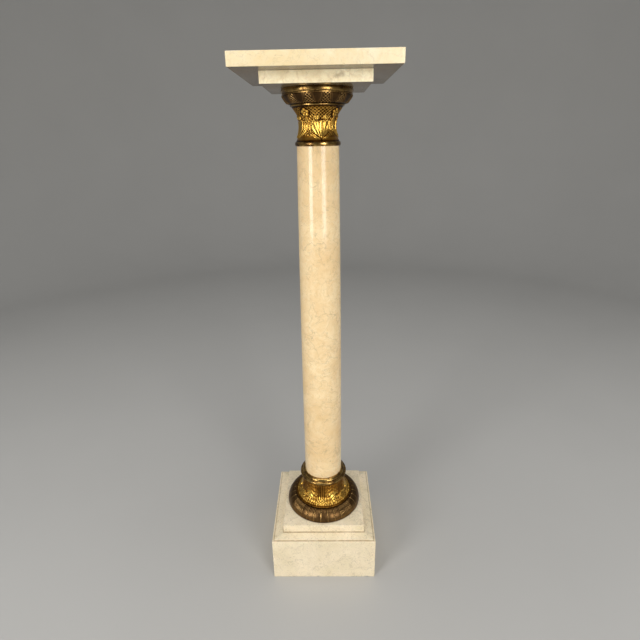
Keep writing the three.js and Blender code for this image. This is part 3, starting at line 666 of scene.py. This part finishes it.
def pressed_felt(name):
    """Dark pressed felt, matt and a little fibrous."""
    made, tree, shader, place = new_material(name)
    fibres = node(tree, "TexNoise", {"Vector": place, "Scale": 1 / 0.7, "Detail": 5.0})
    base = laid_over(tree, (*linear("#37342F"), 1), linear("#57514A"), fibres, 0, 1)
    bump = node(tree, "Bump", {"Height": fibres, "Strength": 0.5, "Distance": 0.2 * MM})
    shader.inputs["Roughness"].default_value = 0.95
    return finished(made, tree, shader, base, bump=bump)


def studio_paper(name, tone):
    """Matt backdrop paper, with the faint unevenness of a used roll."""
    made, tree, shader, place = new_material(name)
    tint = node(tree, "TexNoise", {"Vector": place, "Scale": 1 / 400, "Detail": 3.0})
    worn = [0.94 * share for share in tone]
    base = laid_over(tree, (*tone, 1), worn, tint, 0, 1)
    shader.inputs["Roughness"].default_value = 0.9
    return finished(made, tree, shader, base)


MATERIALS = {}


def finish_in(piece, key, make):
    """Gives the piece the finish of that key, which is made only once."""
    if key not in MATERIALS:
        MATERIALS[key] = make()
    piece.data.materials.clear()
    piece.data.materials.append(MATERIALS[key])


def shaft_marble(scene):
    tones = scene.pedestal_stone_colours
    return marble(
        "polished_cream_marble_shaft", tones.shaft, tones.shaft_cloud, tones.vein,
        veining=0.6, specks=0.25, roughness=0.12,
    )


def top_marble(scene):
    tones = scene.pedestal_stone_colours
    return marble(
        "polished_cream_marble_top", tones.top, tones.top_cloud, tones.vein,
        veining=0.4, specks=0.2, roughness=0.17,
    )


def abacus_marble(scene):
    # Its lighter main colour is painted light, set against the shade under the top slab's overhang.
    tones = scene.pedestal_stone_colours
    front = -half_side("abacus_slab")
    height = (foot_of("abacus_slab") + top_of("abacus_slab")) / 2
    stains = (((32, front, height - 1), 5), ((39, front, height + 1), 6))
    return marble(
        "polished_cream_marble_abacus", tones.abacus, tones.top_cloud, tones.vein,
        veining=0.4, specks=0.2, roughness=0.17, stains=stains,
    )


def plinth_marble(scene):
    tones = scene.pedestal_stone_colours
    size = sizes_of(scene)
    top = top_of("plinth_block")
    ledge = top - size.plinth_fall - size.plinth_fillet
    # Creases that get dirt and painted shade.
    creases = (
        ("square", half_side("plinth_block") - size.plinth_ledge, ledge),
        ("square", half_side("step_slab"), top),
        ("round", half_side("base_torus") - size.torus_tuck, top_of("step_slab")),
    )
    return marble(
        "honed_cream_marble_plinth", tones.plinth, tones.plinth_cloud, tones.vein,
        veining=0.55, specks=0.75, roughness=0.3, creases=creases,
    )


def gilt_bronze(scene):
    tones = scene.pedestal_bronze_colours
    return cast_bronze("gilt_cast_bronze", tones.gilt, tones.gilt_mid, tones.gilt_hollow, gloss=0.26)


def brown_bronze(scene):
    tones = scene.pedestal_bronze_colours
    return cast_bronze(
        "brown_cast_bronze", tones.brown, tones.brown_mid, tones.brown_hollow, gloss=0.25
    )


def ring_bronze(scene):
    tones = scene.pedestal_bronze_colours
    return turned_bronze("polished_turned_bronze", tones.ring, tones.ring_film)


def dress(context, piece, cad_node, make):
    """Gives a new piece its finish, hangs it under the root body and hides the frame solid it stands in
    for.
    """
    finish_in(piece, make.__name__, lambda: make(context.scene))
    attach(piece, "root")
    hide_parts(cad_node)


# ---- Stone -----------------------------------------------------------------------------------


class PEDESTAL_OT_plinth(bpy.types.Operator):
    """Square plinth with a ledge, a small fillet and a gentle fall round its top"""

    bl_idname = "pedestal.plinth"
    bl_label = "Plinth"

    def execute(self, context):
        size = sizes_of(context.scene)
        half = half_side("plinth_block")
        foot, top = foot_of("plinth_block"), top_of("plinth_block")
        ledge = top - size.plinth_fall - size.plinth_fillet
        slope = half - size.plinth_ledge - half_side("step_slab")
        block(half, foot, ledge)
        piece = context.object
        select_top_face(piece)
        bpy.ops.mesh.inset(thickness=size.plinth_ledge * MM)
        up = {"value": (0, 0, size.plinth_fillet * MM)}
        bpy.ops.mesh.extrude_region_move(TRANSFORM_OT_translate=up)
        bpy.ops.mesh.inset(thickness=slope * MM)
        bpy.ops.transform.translate(value=(0, 0, size.plinth_fall * MM))
        ease_edges(0.6 * size.arris)
        piece = finish_piece("plinth")
        recess = drill(size.recess, foot - OVERCUT, size.recess_depth)
        hole = drill(size.bore, foot - OVERCUT, top + OVERCUT)
        worn = chips(half, foot, ledge, size.chip, 60, seed=3)
        cut(piece, recess, hole, worn)
        dress(context, piece, "plinth_block", plinth_marble)
        return {"FINISHED"}


def slab(name, cad_node, size, chip_count, seed):
    """A square slab with eased and slightly chipped arrises."""
    half = half_side(cad_node)
    foot, top = foot_of(cad_node), top_of(cad_node)
    block(half, foot, top)
    ease_edges(size.arris)
    piece = finish_piece(name)
    worn = chips(half, foot, top, 0.7 * size.chip, chip_count, seed)
    cut(piece, drill(size.bore, foot - OVERCUT, top - BORE_END), worn)
    return piece


class PEDESTAL_OT_step(bpy.types.Operator):
    """Thinner square slab on the plinth"""

    bl_idname = "pedestal.step"
    bl_label = "Step slab"

    def execute(self, context):
        size = sizes_of(context.scene)
        piece = slab("step", "step_slab", size, chip_count=24, seed=5)
        dress(context, piece, "step_slab", plinth_marble)
        return {"FINISHED"}


class PEDESTAL_OT_top(bpy.types.Operator):
    """Abacus and square top"""

    bl_idname = "pedestal.top"
    bl_label = "Abacus and top"

    def execute(self, context):
        size = sizes_of(context.scene)
        for name, make, seed in (("abacus", abacus_marble, 8), ("top", top_marble, 9)):
            cad_node = f"{name}_slab"
            piece = slab(name, cad_node, size, chip_count=12, seed=seed)
            dress(context, piece, cad_node, make)
        return {"FINISHED"}


class PEDESTAL_OT_shaft(bpy.types.Operator):
    """Round shaft, straight at its foot and drawn in towards its head"""

    bl_idname = "pedestal.shaft"
    bl_label = "Shaft"

    def execute(self, context):
        size = sizes_of(context.scene)
        foot, top = foot_of("shaft"), top_of("shaft")
        skin = [(size.shaft_foot, foot + size.arris)]
        start = foot + size.shaft_straight
        rows = 28
        for i in range(rows + 1):
            climb = i / rows
            height = start + climb * (top - size.arris - start)
            drawn_in = (size.shaft_foot - size.shaft_head) * climb**2
            skin.append((size.shaft_foot - drawn_in, height))
        foot_face = [(size.bore, foot), (size.shaft_foot - size.arris, foot)]
        head_face = [(size.shaft_head - size.arris, top), (size.bore, top)]
        piece = turned("column_shaft", [*foot_face, *skin, *head_face], 160)
        dress(context, piece, "shaft", shaft_marble)
        return {"FINISHED"}


# ---- Base mount ------------------------------------------------------------------------------


class PEDESTAL_OT_torus(bpy.types.Operator):
    """Round brown bronze moulding with crowned panels between fine raised lines"""

    bl_idname = "pedestal.torus"
    bl_label = "Torus"

    panels: repeats("Panels", 32, "torus")
    turn: turn_about_axis(-4.4)

    def execute(self, context):
        size = sizes_of(context.scene)
        foot, top = foot_of("base_torus"), top_of("base_torus")
        widest = half_side("base_torus")
        centre = (size.torus_top, foot + size.torus_toe)
        radii = (widest - size.torus_top, top - foot - size.torus_toe)
        skin = arc(centre, radii, 0, 86, 64)
        toe = []
        for climb in (0, 0.2, 0.4, 0.6, 0.8):
            toe.append((widest - size.torus_tuck * (1 - climb) ** 2, foot + size.torus_toe * climb))
        bore = size.torus_top - 4 * size.wall
        profile = [(bore, foot), *toe, *skin, *arc(centre, radii, 88, 90, 1), (bore, top)]
        panels, start = self.panels, self.turn

        def relief(angle, climb, radius):
            """Crowned panels, fluted above, with a reeded one at each quarter turn."""
            full = float(np.max(climb))
            half = math.pi / panels * radius
            share = np.abs(across(angle, panels, radius, start + math.pi / panels)) / half
            fade = ramp(climb, 0, 3) * ramp(full - climb, 0, 2)
            crown = size.panel_rise * (dome(share * 0.96) - 1)
            line = ridge((1 - share) * half, 0.75)
            fine = 0.5 + 0.5 * np.cos(4 * panels * (angle - start))
            quarter = np.abs(across(angle, 4, 1.0, start + math.pi / 4)) / (TURN / panels)
            reeded = ramp(1.1 - quarter, 0, 0.05)
            reed = np.cos(5 * panels * (angle - start))
            upper = ramp(climb, 0.55 * full, 0.68 * full)
            panel = crown + 0.7 * line + 0.25 * fine * upper
            out = fade * ((1 - reeded) * panel + reeded * (0.32 * reed - 0.2))
            panel_worn = 0.3 + 0.14 * dome(share) + 0.6 * line + 0.3 * fine * upper - 0.2 * upper
            worn = (1 - reeded) * panel_worn + reeded * (0.42 + 0.38 * reed)
            return out, worn * (0.35 + 0.65 * fade)

        piece = turned("torus", profile, 960, sharp=55)
        press_relief(piece, skin, relief, 0.25)
        dress(context, piece, "base_torus", brown_bronze)
        return {"FINISHED"}


class PEDESTAL_OT_collar(bpy.types.Operator):
    """Hollow-curved gilt collar with lobed leaves, reeds and trellis over a bead"""

    bl_idname = "pedestal.collar"
    bl_label = "Collar"

    leaves: repeats("Leaves", 6, "collar")
    turn: turn_about_axis(25)

    def execute(self, context):
        size = sizes_of(context.scene)
        foot = top_of("base_torus") + HAIRLINE
        top = top_of("base_collar")
        swell = size.collar_bead_height / 2
        bead = rounded(size.collar_bead, swell, foot, foot + size.collar_bead_height, reach=90, steps=12)
        crease = size.collar_bead - size.collar_bead_height
        neck = top - size.collar_neck_height
        radii = (crease - size.collar_neck, neck - foot - size.collar_bead_height)
        skin = arc((crease, neck), radii, 270, 180, 104)
        bore = size.collar_neck - 2 * size.wall
        profile = [(bore, foot), *bead, *skin, (size.collar_neck, top), (bore, top)]
        leaves, start = self.leaves, self.turn

        def leaf(side, down, length, half, rise, lobes):
            """A lobed leaf with a sunk midrib and ribs that fan out to its lobes."""
            share = np.clip(1 - down / length, 0, 1)
            width = half * leaf_outline(share, lobes, 0.34)
            inside = np.minimum(width - np.abs(side), length - down)
            ribs = np.cos(TURN * (lobes * share + 0.9 * np.abs(side) / half))
            body = 0.62 + 0.38 * dome(np.abs(side) / np.maximum(width, 0.1) * 0.9)
            curl = 1 - 0.45 * share
            midrib = 0.5 * np.exp(-((side / 1.1) ** 2))
            return mound(inside, 1.4) * (rise * body * curl + 0.4 * ribs - midrib)

        def husks(angle, climb, count, foot, height, rise):
            """A row of small upright leaves of uneven height, each with a groove."""
            turn = (angle - start) * count / TURN
            index = np.round(turn)
            side = (turn - index) * 2.2
            tall = height * (0.75 + 0.5 * scatter(index + foot))
            up = (climb - foot) / tall
            inside = np.sin(math.pi * np.clip(up, 0, 1) ** 0.7)
            body = dome(side / np.maximum(inside, 0.05)) * inside
            return rise * (0.7 + 0.6 * scatter(index + 7 + foot)) * body - 0.5 * ridge(side, 0.2) * body

        def relief(angle, climb, radius):
            """Leaves and reeds that hang from the neck, husks that stand on the bead, and pads."""
            full = float(np.max(climb))
            down = full - climb
            near = across(angle, leaves, radius, start)
            between = across(angle, leaves, radius, start + math.pi / leaves)
            big = leaf(near, down, size.leaf_length, size.leaf_half, size.leaf_rise, 4)
            small = leaf(np.abs(between) - 13, down, 0.75 * size.leaf_length, 6.5, 1.6, 3)
            reeds = 0.65 + 0.35 * np.cos(72 * (angle - start))
            reeds = size.reed_rise * reeds * ramp(size.reed_length + 12 - down, 0, 12)
            rows = ((72, 0, 9, 1.3), (60, 5, 11, 1.4), (60, 11, 13, 1.2))
            foliage = [husks(angle, climb, *row) for row in rows]
            pad_in = 10.5 - np.hypot(between, 1.25 * (climb - 10.5))
            net = trellis(angle, climb, radius, size.trellis_pitch)
            pad = mound(pad_in, 1.0) * (1.2 + 0.55 * net) + 0.5 * ridge(pad_in, 0.8)
            parts = np.maximum.reduce([big, small, reeds, pad, *foliage])
            flutes = np.cos(72 * (angle - start)) * ramp(climb, 8, 16)
            out = (parts + 0.16 * flutes) * ramp(climb, 0, 1.2) * ramp(down, 0, 1)
            # zone darkens the collar towards the neck: partly the browner film there, partly painted shade
            # under the neck ring.
            zone = 1 - 0.62 * ramp(climb, 14, 34)
            worn = 0.16 + 0.58 * out + 0.2 * flutes - 0.6 * mound(pad_in, 1.0) * (1 - net)
            return out, zone * worn

        piece = turned("collar", profile, 672, sharp=60)
        press_relief(piece, skin, relief, 0.16)
        dress(context, piece, "base_collar", gilt_bronze)
        return {"FINISHED"}


class PEDESTAL_OT_neck_ring(bpy.types.Operator):
    """Polished ring of two steps that holds the foot of the shaft"""

    bl_idname = "pedestal.neck_ring"
    bl_label = "Neck ring"

    def execute(self, context):
        size = sizes_of(context.scene)
        foot, top = top_of("base_collar") + HAIRLINE, top_of("neck_ring")
        middle = size.ring_radius - size.ring_swell / 2
        bore = size.collar_neck - 3 * size.wall
        pocket = size.shaft_foot + POCKET_ROOM
        seat = foot_of("shaft_foot_packing") - HAIRLINE
        hollow = arc((middle, foot), (middle - size.collar_neck, size.ring_undercut), 180, 90, 10)
        low = foot + size.ring_undercut
        lip_foot = low + size.ring_swell
        swell = rounded(size.ring_radius, size.ring_swell / 2, low, lip_foot, reach=90, steps=24)
        shoulder = pocket + 1
        lip = arc((shoulder, lip_foot), (size.ring_lip - shoulder, top - lip_foot), 0, 88, 14)
        profile = [(bore, foot), *hollow, *swell[1:], *lip, (pocket, top), (pocket, seat), (bore, seat)]
        piece = turned("foot_ring", profile, 192)
        dress(context, piece, "neck_ring", ring_bronze)
        return {"FINISHED"}


# ---- Capital ---------------------------------------------------------------------------------


def plain_ring(context, name, cad_node, profile):
    """A turned and polished ring of the capital."""
    piece = turned(name, profile, 192)
    dress(context, piece, cad_node, ring_bronze)


class PEDESTAL_OT_capital_rings(bpy.types.Operator):
    """Polished rings of the capital: astragal, fillet ring and top ring"""

    bl_idname = "pedestal.capital_rings"
    bl_label = "Capital rings"

    def execute(self, context):
        size = sizes_of(context.scene)
        pocket = size.shaft_head + POCKET_ROOM
        seat = top_of("shaft_head_packing") + 3 * HAIRLINE
        foot, top = foot_of("astragal_ring"), foot_of("capital_bell") - HAIRLINE
        swell = rounded(size.astragal_radius, 1.8, foot, top, reach=88, steps=20)
        inner = size.bell_neck - 2 * size.wall
        profile = [(pocket, foot), *swell, (inner, top), (inner, seat), (pocket, seat)]
        plain_ring(context, "astragal", "astragal_ring", profile)

        foot, top = top_of("capital_bell") + HAIRLINE, foot_of("capital_echinus") - HAIRLINE
        swell = rounded(size.fillet_radius, 0.6, foot, top, reach=90, steps=16)
        inner = size.fillet_radius - 2.5 * size.wall
        plain_ring(context, "fillet", "fillet_ring", [(inner, foot), *swell, (inner, top)])

        foot, top = top_of("capital_echinus") + HAIRLINE, top_of("capital_top_ring")
        low = foot + size.top_ring_groove
        swell = rounded(size.top_ring, 1.6, low, top, reach=88, steps=18)
        joint = [(size.top_ring_shoulder, foot), (size.top_ring_shoulder, low)]
        profile = [(size.bore, foot), *joint, *swell, (size.bore, top)]
        plain_ring(context, "crown_ring", "capital_top_ring", profile)
        return {"FINISHED"}


class PEDESTAL_OT_bell(bpy.types.Operator):
    """Flaring gilt bell with shields, scrolls, flowers and trellis"""

    bl_idname = "pedestal.bell"
    bl_label = "Bell"

    shields: repeats("Shields", 4, "bell")
    turn: turn_about_axis(11)

    def execute(self, context):
        size = sizes_of(context.scene)
        foot, top = foot_of("capital_bell"), top_of("capital_bell")
        height = top - foot
        rows = 150

        def radius_at(z):
            if z < size.bell_neck_height:
                fall = 1 - z / size.bell_neck_height
                return size.bell_neck + (size.bell_foot - size.bell_neck) * fall**2
            climb = (z - size.bell_neck_height) / (height - size.bell_neck_height)
            return size.bell_neck + (size.bell_lip - size.bell_neck) * climb**2.2

        skin = [(radius_at(height * i / rows), foot + height * i / rows) for i in range(rows + 1)]
        bore = size.bell_neck - size.wall
        profile = [(bore, foot), *skin, (size.bell_lip - size.wall, top), (bore, foot + height / 2)]
        shields, start = self.shields, self.turn
        shoulder = size.shield_tip + size.shield_height

        def within_shield(side, climb):
            """The way in from the outline of a pointed shield, tip down; below 0 outside it."""
            up = climb - size.shield_tip
            open_share = np.clip(up / size.shield_point, 0, 1)
            half = size.shield_half * np.sin(open_share * math.pi / 2)
            brow = size.shield_height - 2.5 * dome(side / size.shield_half)
            return np.minimum(half - np.abs(side), brow - up)

        def shield(side, climb):
            """A shield with a raised rim, a rib and grooves that fan from its tip."""
            up = climb - size.shield_tip
            inside = within_shield(side, climb)
            rim = 0.5 * ridge(inside - 1.3, 0.7)
            fan = 0.3 * np.cos(26 * np.arctan2(side, up + 6)) * ramp(inside, 1.5, 3.5)
            rib = 0.7 * ridge(side, 1.2) * ramp(inside, 1, 3)
            return mound(inside, 1.1) * (size.shield_rise + rim + fan + rib)

        def mantle(side, climb):
            """Two ridges that follow the shield's lower outline from outside."""
            outside = -within_shield(side, climb)
            band = ramp(outside, 0.9, 1.6) * ramp(9.2 - outside, 0, 1)
            tall = ramp(climb, size.shield_tip - 1, size.shield_tip + 4) * ramp(shoulder - climb, 6, 12)
            return 1.3 * band * tall * (0.5 - 0.5 * np.cos(TURN * (outside - 1.2) / 4.0))

        def scroll(side, climb):
            """A rounded band that curls over the shield's shoulder, round a bud."""
            across_scroll = np.abs(side) - size.scroll_offset
            up = climb - shoulder - 1
            path = []
            for share in np.linspace(0, 1, 60):
                turn = TURN * 1.25 * share - math.pi / 2
                reach = size.scroll_radius + (size.scroll_eye - size.scroll_radius) * share
                path.append((reach * math.cos(turn), reach * math.sin(turn)))
            gap, share = distance_to(across_scroll, up, path)
            band = size.scroll_rise * dome(gap / (1.7 - 0.6 * share))
            return np.maximum(band, 2 * dome(np.hypot(across_scroll, up) / 3))

        def flower(side, up):
            """Five round petals about a beaded heart."""
            petals = np.zeros(len(side))
            reach = 0.6 * size.flower_radius
            for i in range(5):
                turn = TURN * i / 5
                gap = np.hypot(side - reach * math.sin(turn), up - reach * math.cos(turn))
                petals = np.maximum(petals, dome(gap / (0.4 * size.flower_radius)))
            heart = 2.4 * dome(np.hypot(side, up) / 1.9)
            return np.maximum((size.flower_rise + 0.4) * petals, heart)

        def pendant(side, down):
            """A narrow leaf with a groove down its middle."""
            share = np.clip(down / size.pendant_length, 0, 1)
            half = 3.1 * np.sin(math.pi * (0.12 + 0.86 * share))
            inside = np.minimum(half - np.abs(side), size.pendant_length - down)
            return mound(inside, 0.9) * (1.5 - 0.45 * ridge(side, 0.6)) * (down > 0)

        def relief(angle, climb, radius):
            """Trellis with shields and scrolls on it, and flowers and sprays between these."""
            full = float(np.max(climb))
            near = across(angle, shields, radius, start)
            between = across(angle, shields, radius, start + math.pi / shields)
            heart = full - size.flower_drop
            net = trellis(angle, climb, radius, size.trellis_pitch)
            net = net * ramp(climb, 9, 11) * ramp(full - climb, 2, 4)
            net = net * ramp(np.hypot(between, climb - heart) - size.flower_radius, 1.5, 3)
            spray = 0.5 + 0.5 * np.cos(TURN * between / 3.2)
            spray = 1.1 * spray * ramp(11 - np.abs(between), 0, 1.5)
            spray = spray * ramp(climb, 13, 19) * ramp(heart - 9 - climb, 0, 3)
            parts = np.maximum.reduce([
                size.trellis_rise * net,
                shield(near, climb),
                mantle(near, climb),
                scroll(near, climb),
                flower(between, climb - heart),
                pendant(between, heart - 0.6 * size.flower_radius - climb),
                spray,
            ])
            out = parts * ramp(climb, 0, 2) * ramp(full - climb, 0, 1.5)
            smooth = 0.5 * ramp(11 - climb, 0, 4) * ramp(climb, 1, 4)
            groove = 0.5 * ridge(within_shield(near, climb) + 0.5, 0.7)
            framed = 0.9 * mantle(near, climb)
            worn = np.maximum.reduce([0.46 * out - 0.1, 0.82 * net, framed]) + smooth - groove
            return out - groove, worn

        piece = turned("bell", profile, 640, sharp=60)
        press_relief(piece, skin, relief, 0.5)
        dress(context, piece, "capital_bell", gilt_bronze)
        return {"FINISHED"}


class PEDESTAL_OT_echinus(bpy.types.Operator):
    """Swelling brown bronze moulding with smooth tongues and fine lattice between them"""

    bl_idname = "pedestal.echinus"
    bl_label = "Echinus"

    tongues: repeats("Tongues", 12, "echinus")
    turn: turn_about_axis(1)

    def execute(self, context):
        size = sizes_of(context.scene)
        foot, top = foot_of("capital_echinus"), top_of("capital_echinus")
        rise = top - foot - size.echinus_rim_height
        corner = (size.echinus_foot + size.echinus_belly, rise / 3)
        rows = 64
        skin = []
        for i in range(rows + 1):
            t = i / rows
            bend = 2 * t * (1 - t)
            radius = (1 - t) ** 2 * size.echinus_foot + bend * corner[0] + t * t * size.echinus_rim
            skin.append((radius, foot + bend * corner[1] + t * t * rise))
        bore = size.echinus_foot - size.wall
        bead = 0.5 * size.echinus_rim_height
        rim = arc((size.echinus_rim - 0.3 * bead, top - bead), (bead, bead), -75, 90, 8)
        inner = [(size.echinus_rim - size.wall, top), (bore, foot + size.wall / 2)]
        profile = [(bore, foot), *skin, *rim, *inner]
        tongues, start = self.tongues, self.turn

        def relief(angle, climb, radius):
            """Tongues with a double line inside their edge, and lattice between them."""
            full = float(np.max(climb))
            side = across(angle, tongues, radius, start)
            down = np.clip((full - climb) / size.tongue_length, 0, 1)
            half = size.tongue_half * np.sqrt(np.clip(1 - down**2.2, 0, 1))
            inside = half - np.abs(side)
            body = size.tongue_rise * (0.6 + 0.4 * dome(side / size.tongue_half))
            rim = (ridge(inside - 0.8, 0.6) + 0.7 * ridge(inside - 3.6, 0.6)) * (inside > -1)
            tongue = mound(inside, 1.2) * body + 0.5 * rim
            net = trellis(angle, climb, radius, 0.95 * size.trellis_pitch)
            net = net * ramp(climb, 1.5, 3) * (inside < -0.6)
            out = np.maximum(tongue, 0.75 * net) * ramp(climb, 0, 1.5) * ramp(full - climb, 0, 1.2)
            worn = 0.15 * mound(inside, 1.2) + 0.55 * rim + 0.04 + 1.5 * net
            return out, worn

        piece = turned("echinus", profile, 720, sharp=60)
        # Plain faces, the rim among them, are set bright: partly rubbed wear on the edge, partly a painted
        # highlight along the rim's top edge.
        press_relief(piece, skin, relief, 0.85)
        dress(context, piece, "capital_echinus", brown_bronze)
        return {"FINISHED"}


# ---- Hidden pieces ---------------------------------------------------------------------------


class PEDESTAL_OT_ironwork(bpy.types.Operator):
    """Finishes for the tie rod, its nuts and washers, the dowels and the soft packings"""

    bl_idname = "pedestal.ironwork"
    bl_label = "Ironwork and packings"

    def execute(self, context):
        nuts_and_washers = ("foot_washer", "foot_nut", "head_washer", "head_nut")
        for name in ("tie_rod", *nuts_and_washers, "left_dowel", "right_dowel"):
            finish_in(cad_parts[name], "iron", lambda: wrought_iron("dull_wrought_iron"))
        for name in ("shaft_foot_packing", "shaft_head_packing"):
            finish_in(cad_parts[name], "felt", lambda: pressed_felt("dark_pressed_felt"))
        return {"FINISHED"}


# ---- Stage -----------------------------------------------------------------------------------

CAMERA_PLACE = (0.01397, -0.86998, 0.94978)  # metres, in front of the column
CAMERA_TURNS = (1.04, -21.88, -1.0)  # degrees of pan to the left, of pitch and of roll


def soft_box(name, azimuth, distance, height, size, watts, aim_height):
    """A rectangular soft light at an azimuth from the front, in metres and degrees."""
    light = bpy.data.lights.new(name, "AREA")
    light.shape = "RECTANGLE"
    light.size, light.size_y = size
    light.energy = watts
    lamp = bpy.data.objects.new(name, light)
    bpy.context.collection.objects.link(lamp)
    turn = math.radians(azimuth)
    lamp.location = (distance * math.sin(turn), -distance * math.cos(turn), height)
    aim = Vector((0, 0, aim_height)) - lamp.location
    lamp.rotation_euler = aim.to_track_quat("-Z", "Y").to_euler()
    lamp.visible_camera = False
    return lamp


class PEDESTAL_OT_stage(bpy.types.Operator):
    """Pale studio sweep, soft lights and the camera"""

    bl_idname = "pedestal.stage"
    bl_label = "Stage"

    def execute(self, context):
        studio = context.scene.pedestal_studio
        sweep = [(0.1, 0), (2600, 0), *arc((2600, 1400), (1400, 1400), 270, 360, 24), (4000, 4200)]
        back = [(radius + 20, height - 20) for radius, height in reversed(sweep)]
        floor = turned("studio_floor", sweep + back, 96)
        finish_in(floor, "studio", lambda: studio_paper("backdrop_paper", studio.floor))

        soft_box("left_soft_box", -41, 2.3, 1.12, (0.75, 1.5), studio.left_power, 0.8)
        soft_box("right_soft_box", 29, 2.3, 1.12, (0.9, 1.5), studio.right_power, 0.8)
        fills = (("left_fill", -84, studio.left_fill_power), ("right_fill", 80, studio.right_fill_power))
        for name, azimuth, watts in fills:
            fill = soft_box(name, azimuth, 2.4, 0.8, (1.4, 1.8), watts, 0.5)
            fill.visible_glossy = False
        soft_box("overhead_soft_box", 0, 0.4, 3.2, (2.2, 2.2), studio.top_power, 0)

        world = bpy.data.worlds.new("Studio")
        world.use_nodes = True
        background = world.node_tree.nodes["Background"]
        background.inputs["Color"].default_value = (0.9, 0.95, 1.0, 1)
        background.inputs["Strength"].default_value = studio.world_strength
        context.scene.world = world

        lens = bpy.data.cameras.new("Camera")
        lens.lens = studio.lens
        lens.sensor_fit = "HORIZONTAL"
        lens.sensor_width = 36
        lens.clip_start = 0.01
        camera = bpy.data.objects.new("Camera", lens)
        context.collection.objects.link(camera)
        pan, pitch, roll = (math.radians(angle) for angle in CAMERA_TURNS)
        turn = Matrix.Rotation(pan, 4, "Z") @ Matrix.Rotation(math.pi / 2 + pitch, 4, "X")
        turn = turn @ Matrix.Rotation(roll, 4, "Z")
        camera.matrix_world = Matrix.Translation(CAMERA_PLACE) @ turn
        context.scene.camera = camera
        context.scene.view_settings.view_transform = "Standard"
        return {"FINISHED"}


# ---- Panel and registration ------------------------------------------------------------------

OPERATORS = (
    PEDESTAL_OT_stage,
    PEDESTAL_OT_plinth,
    PEDESTAL_OT_step,
    PEDESTAL_OT_torus,
    PEDESTAL_OT_collar,
    PEDESTAL_OT_neck_ring,
    PEDESTAL_OT_shaft,
    PEDESTAL_OT_capital_rings,
    PEDESTAL_OT_bell,
    PEDESTAL_OT_echinus,
    PEDESTAL_OT_top,
    PEDESTAL_OT_ironwork,
)


class PEDESTAL_PT_panel(bpy.types.Panel):
    bl_label = "Pedestal column stand"
    bl_idname = "PEDESTAL_PT_panel"
    bl_space_type = "VIEW_3D"
    bl_region_type = "UI"
    bl_category = "Pedestal"

    def draw(self, context):
        for operator in OPERATORS:
            self.layout.operator(operator.bl_idname)
        for name, group in GROUPS.items():
            box = self.layout.box()
            for entry in group.__annotations__:
                box.prop(getattr(context.scene, name), entry)


def register():
    for group in GROUPS.values():
        bpy.utils.register_class(group)
    for name, group in GROUPS.items():
        setattr(bpy.types.Scene, name, PointerProperty(type=group))
    for operator in OPERATORS:
        bpy.utils.register_class(operator)
    bpy.utils.register_class(PEDESTAL_PT_panel)


def unregister():
    bpy.utils.unregister_class(PEDESTAL_PT_panel)
    for operator in reversed(OPERATORS):
        bpy.utils.unregister_class(operator)
    for name in GROUPS:
        delattr(bpy.types.Scene, name)
    for group in GROUPS.values():
        bpy.utils.unregister_class(group)


def main():
    register()
    for operator in OPERATORS:
        family, name = operator.bl_idname.split(".")
        getattr(getattr(bpy.ops, family), name)()


if __name__ == "__main__":
    main()
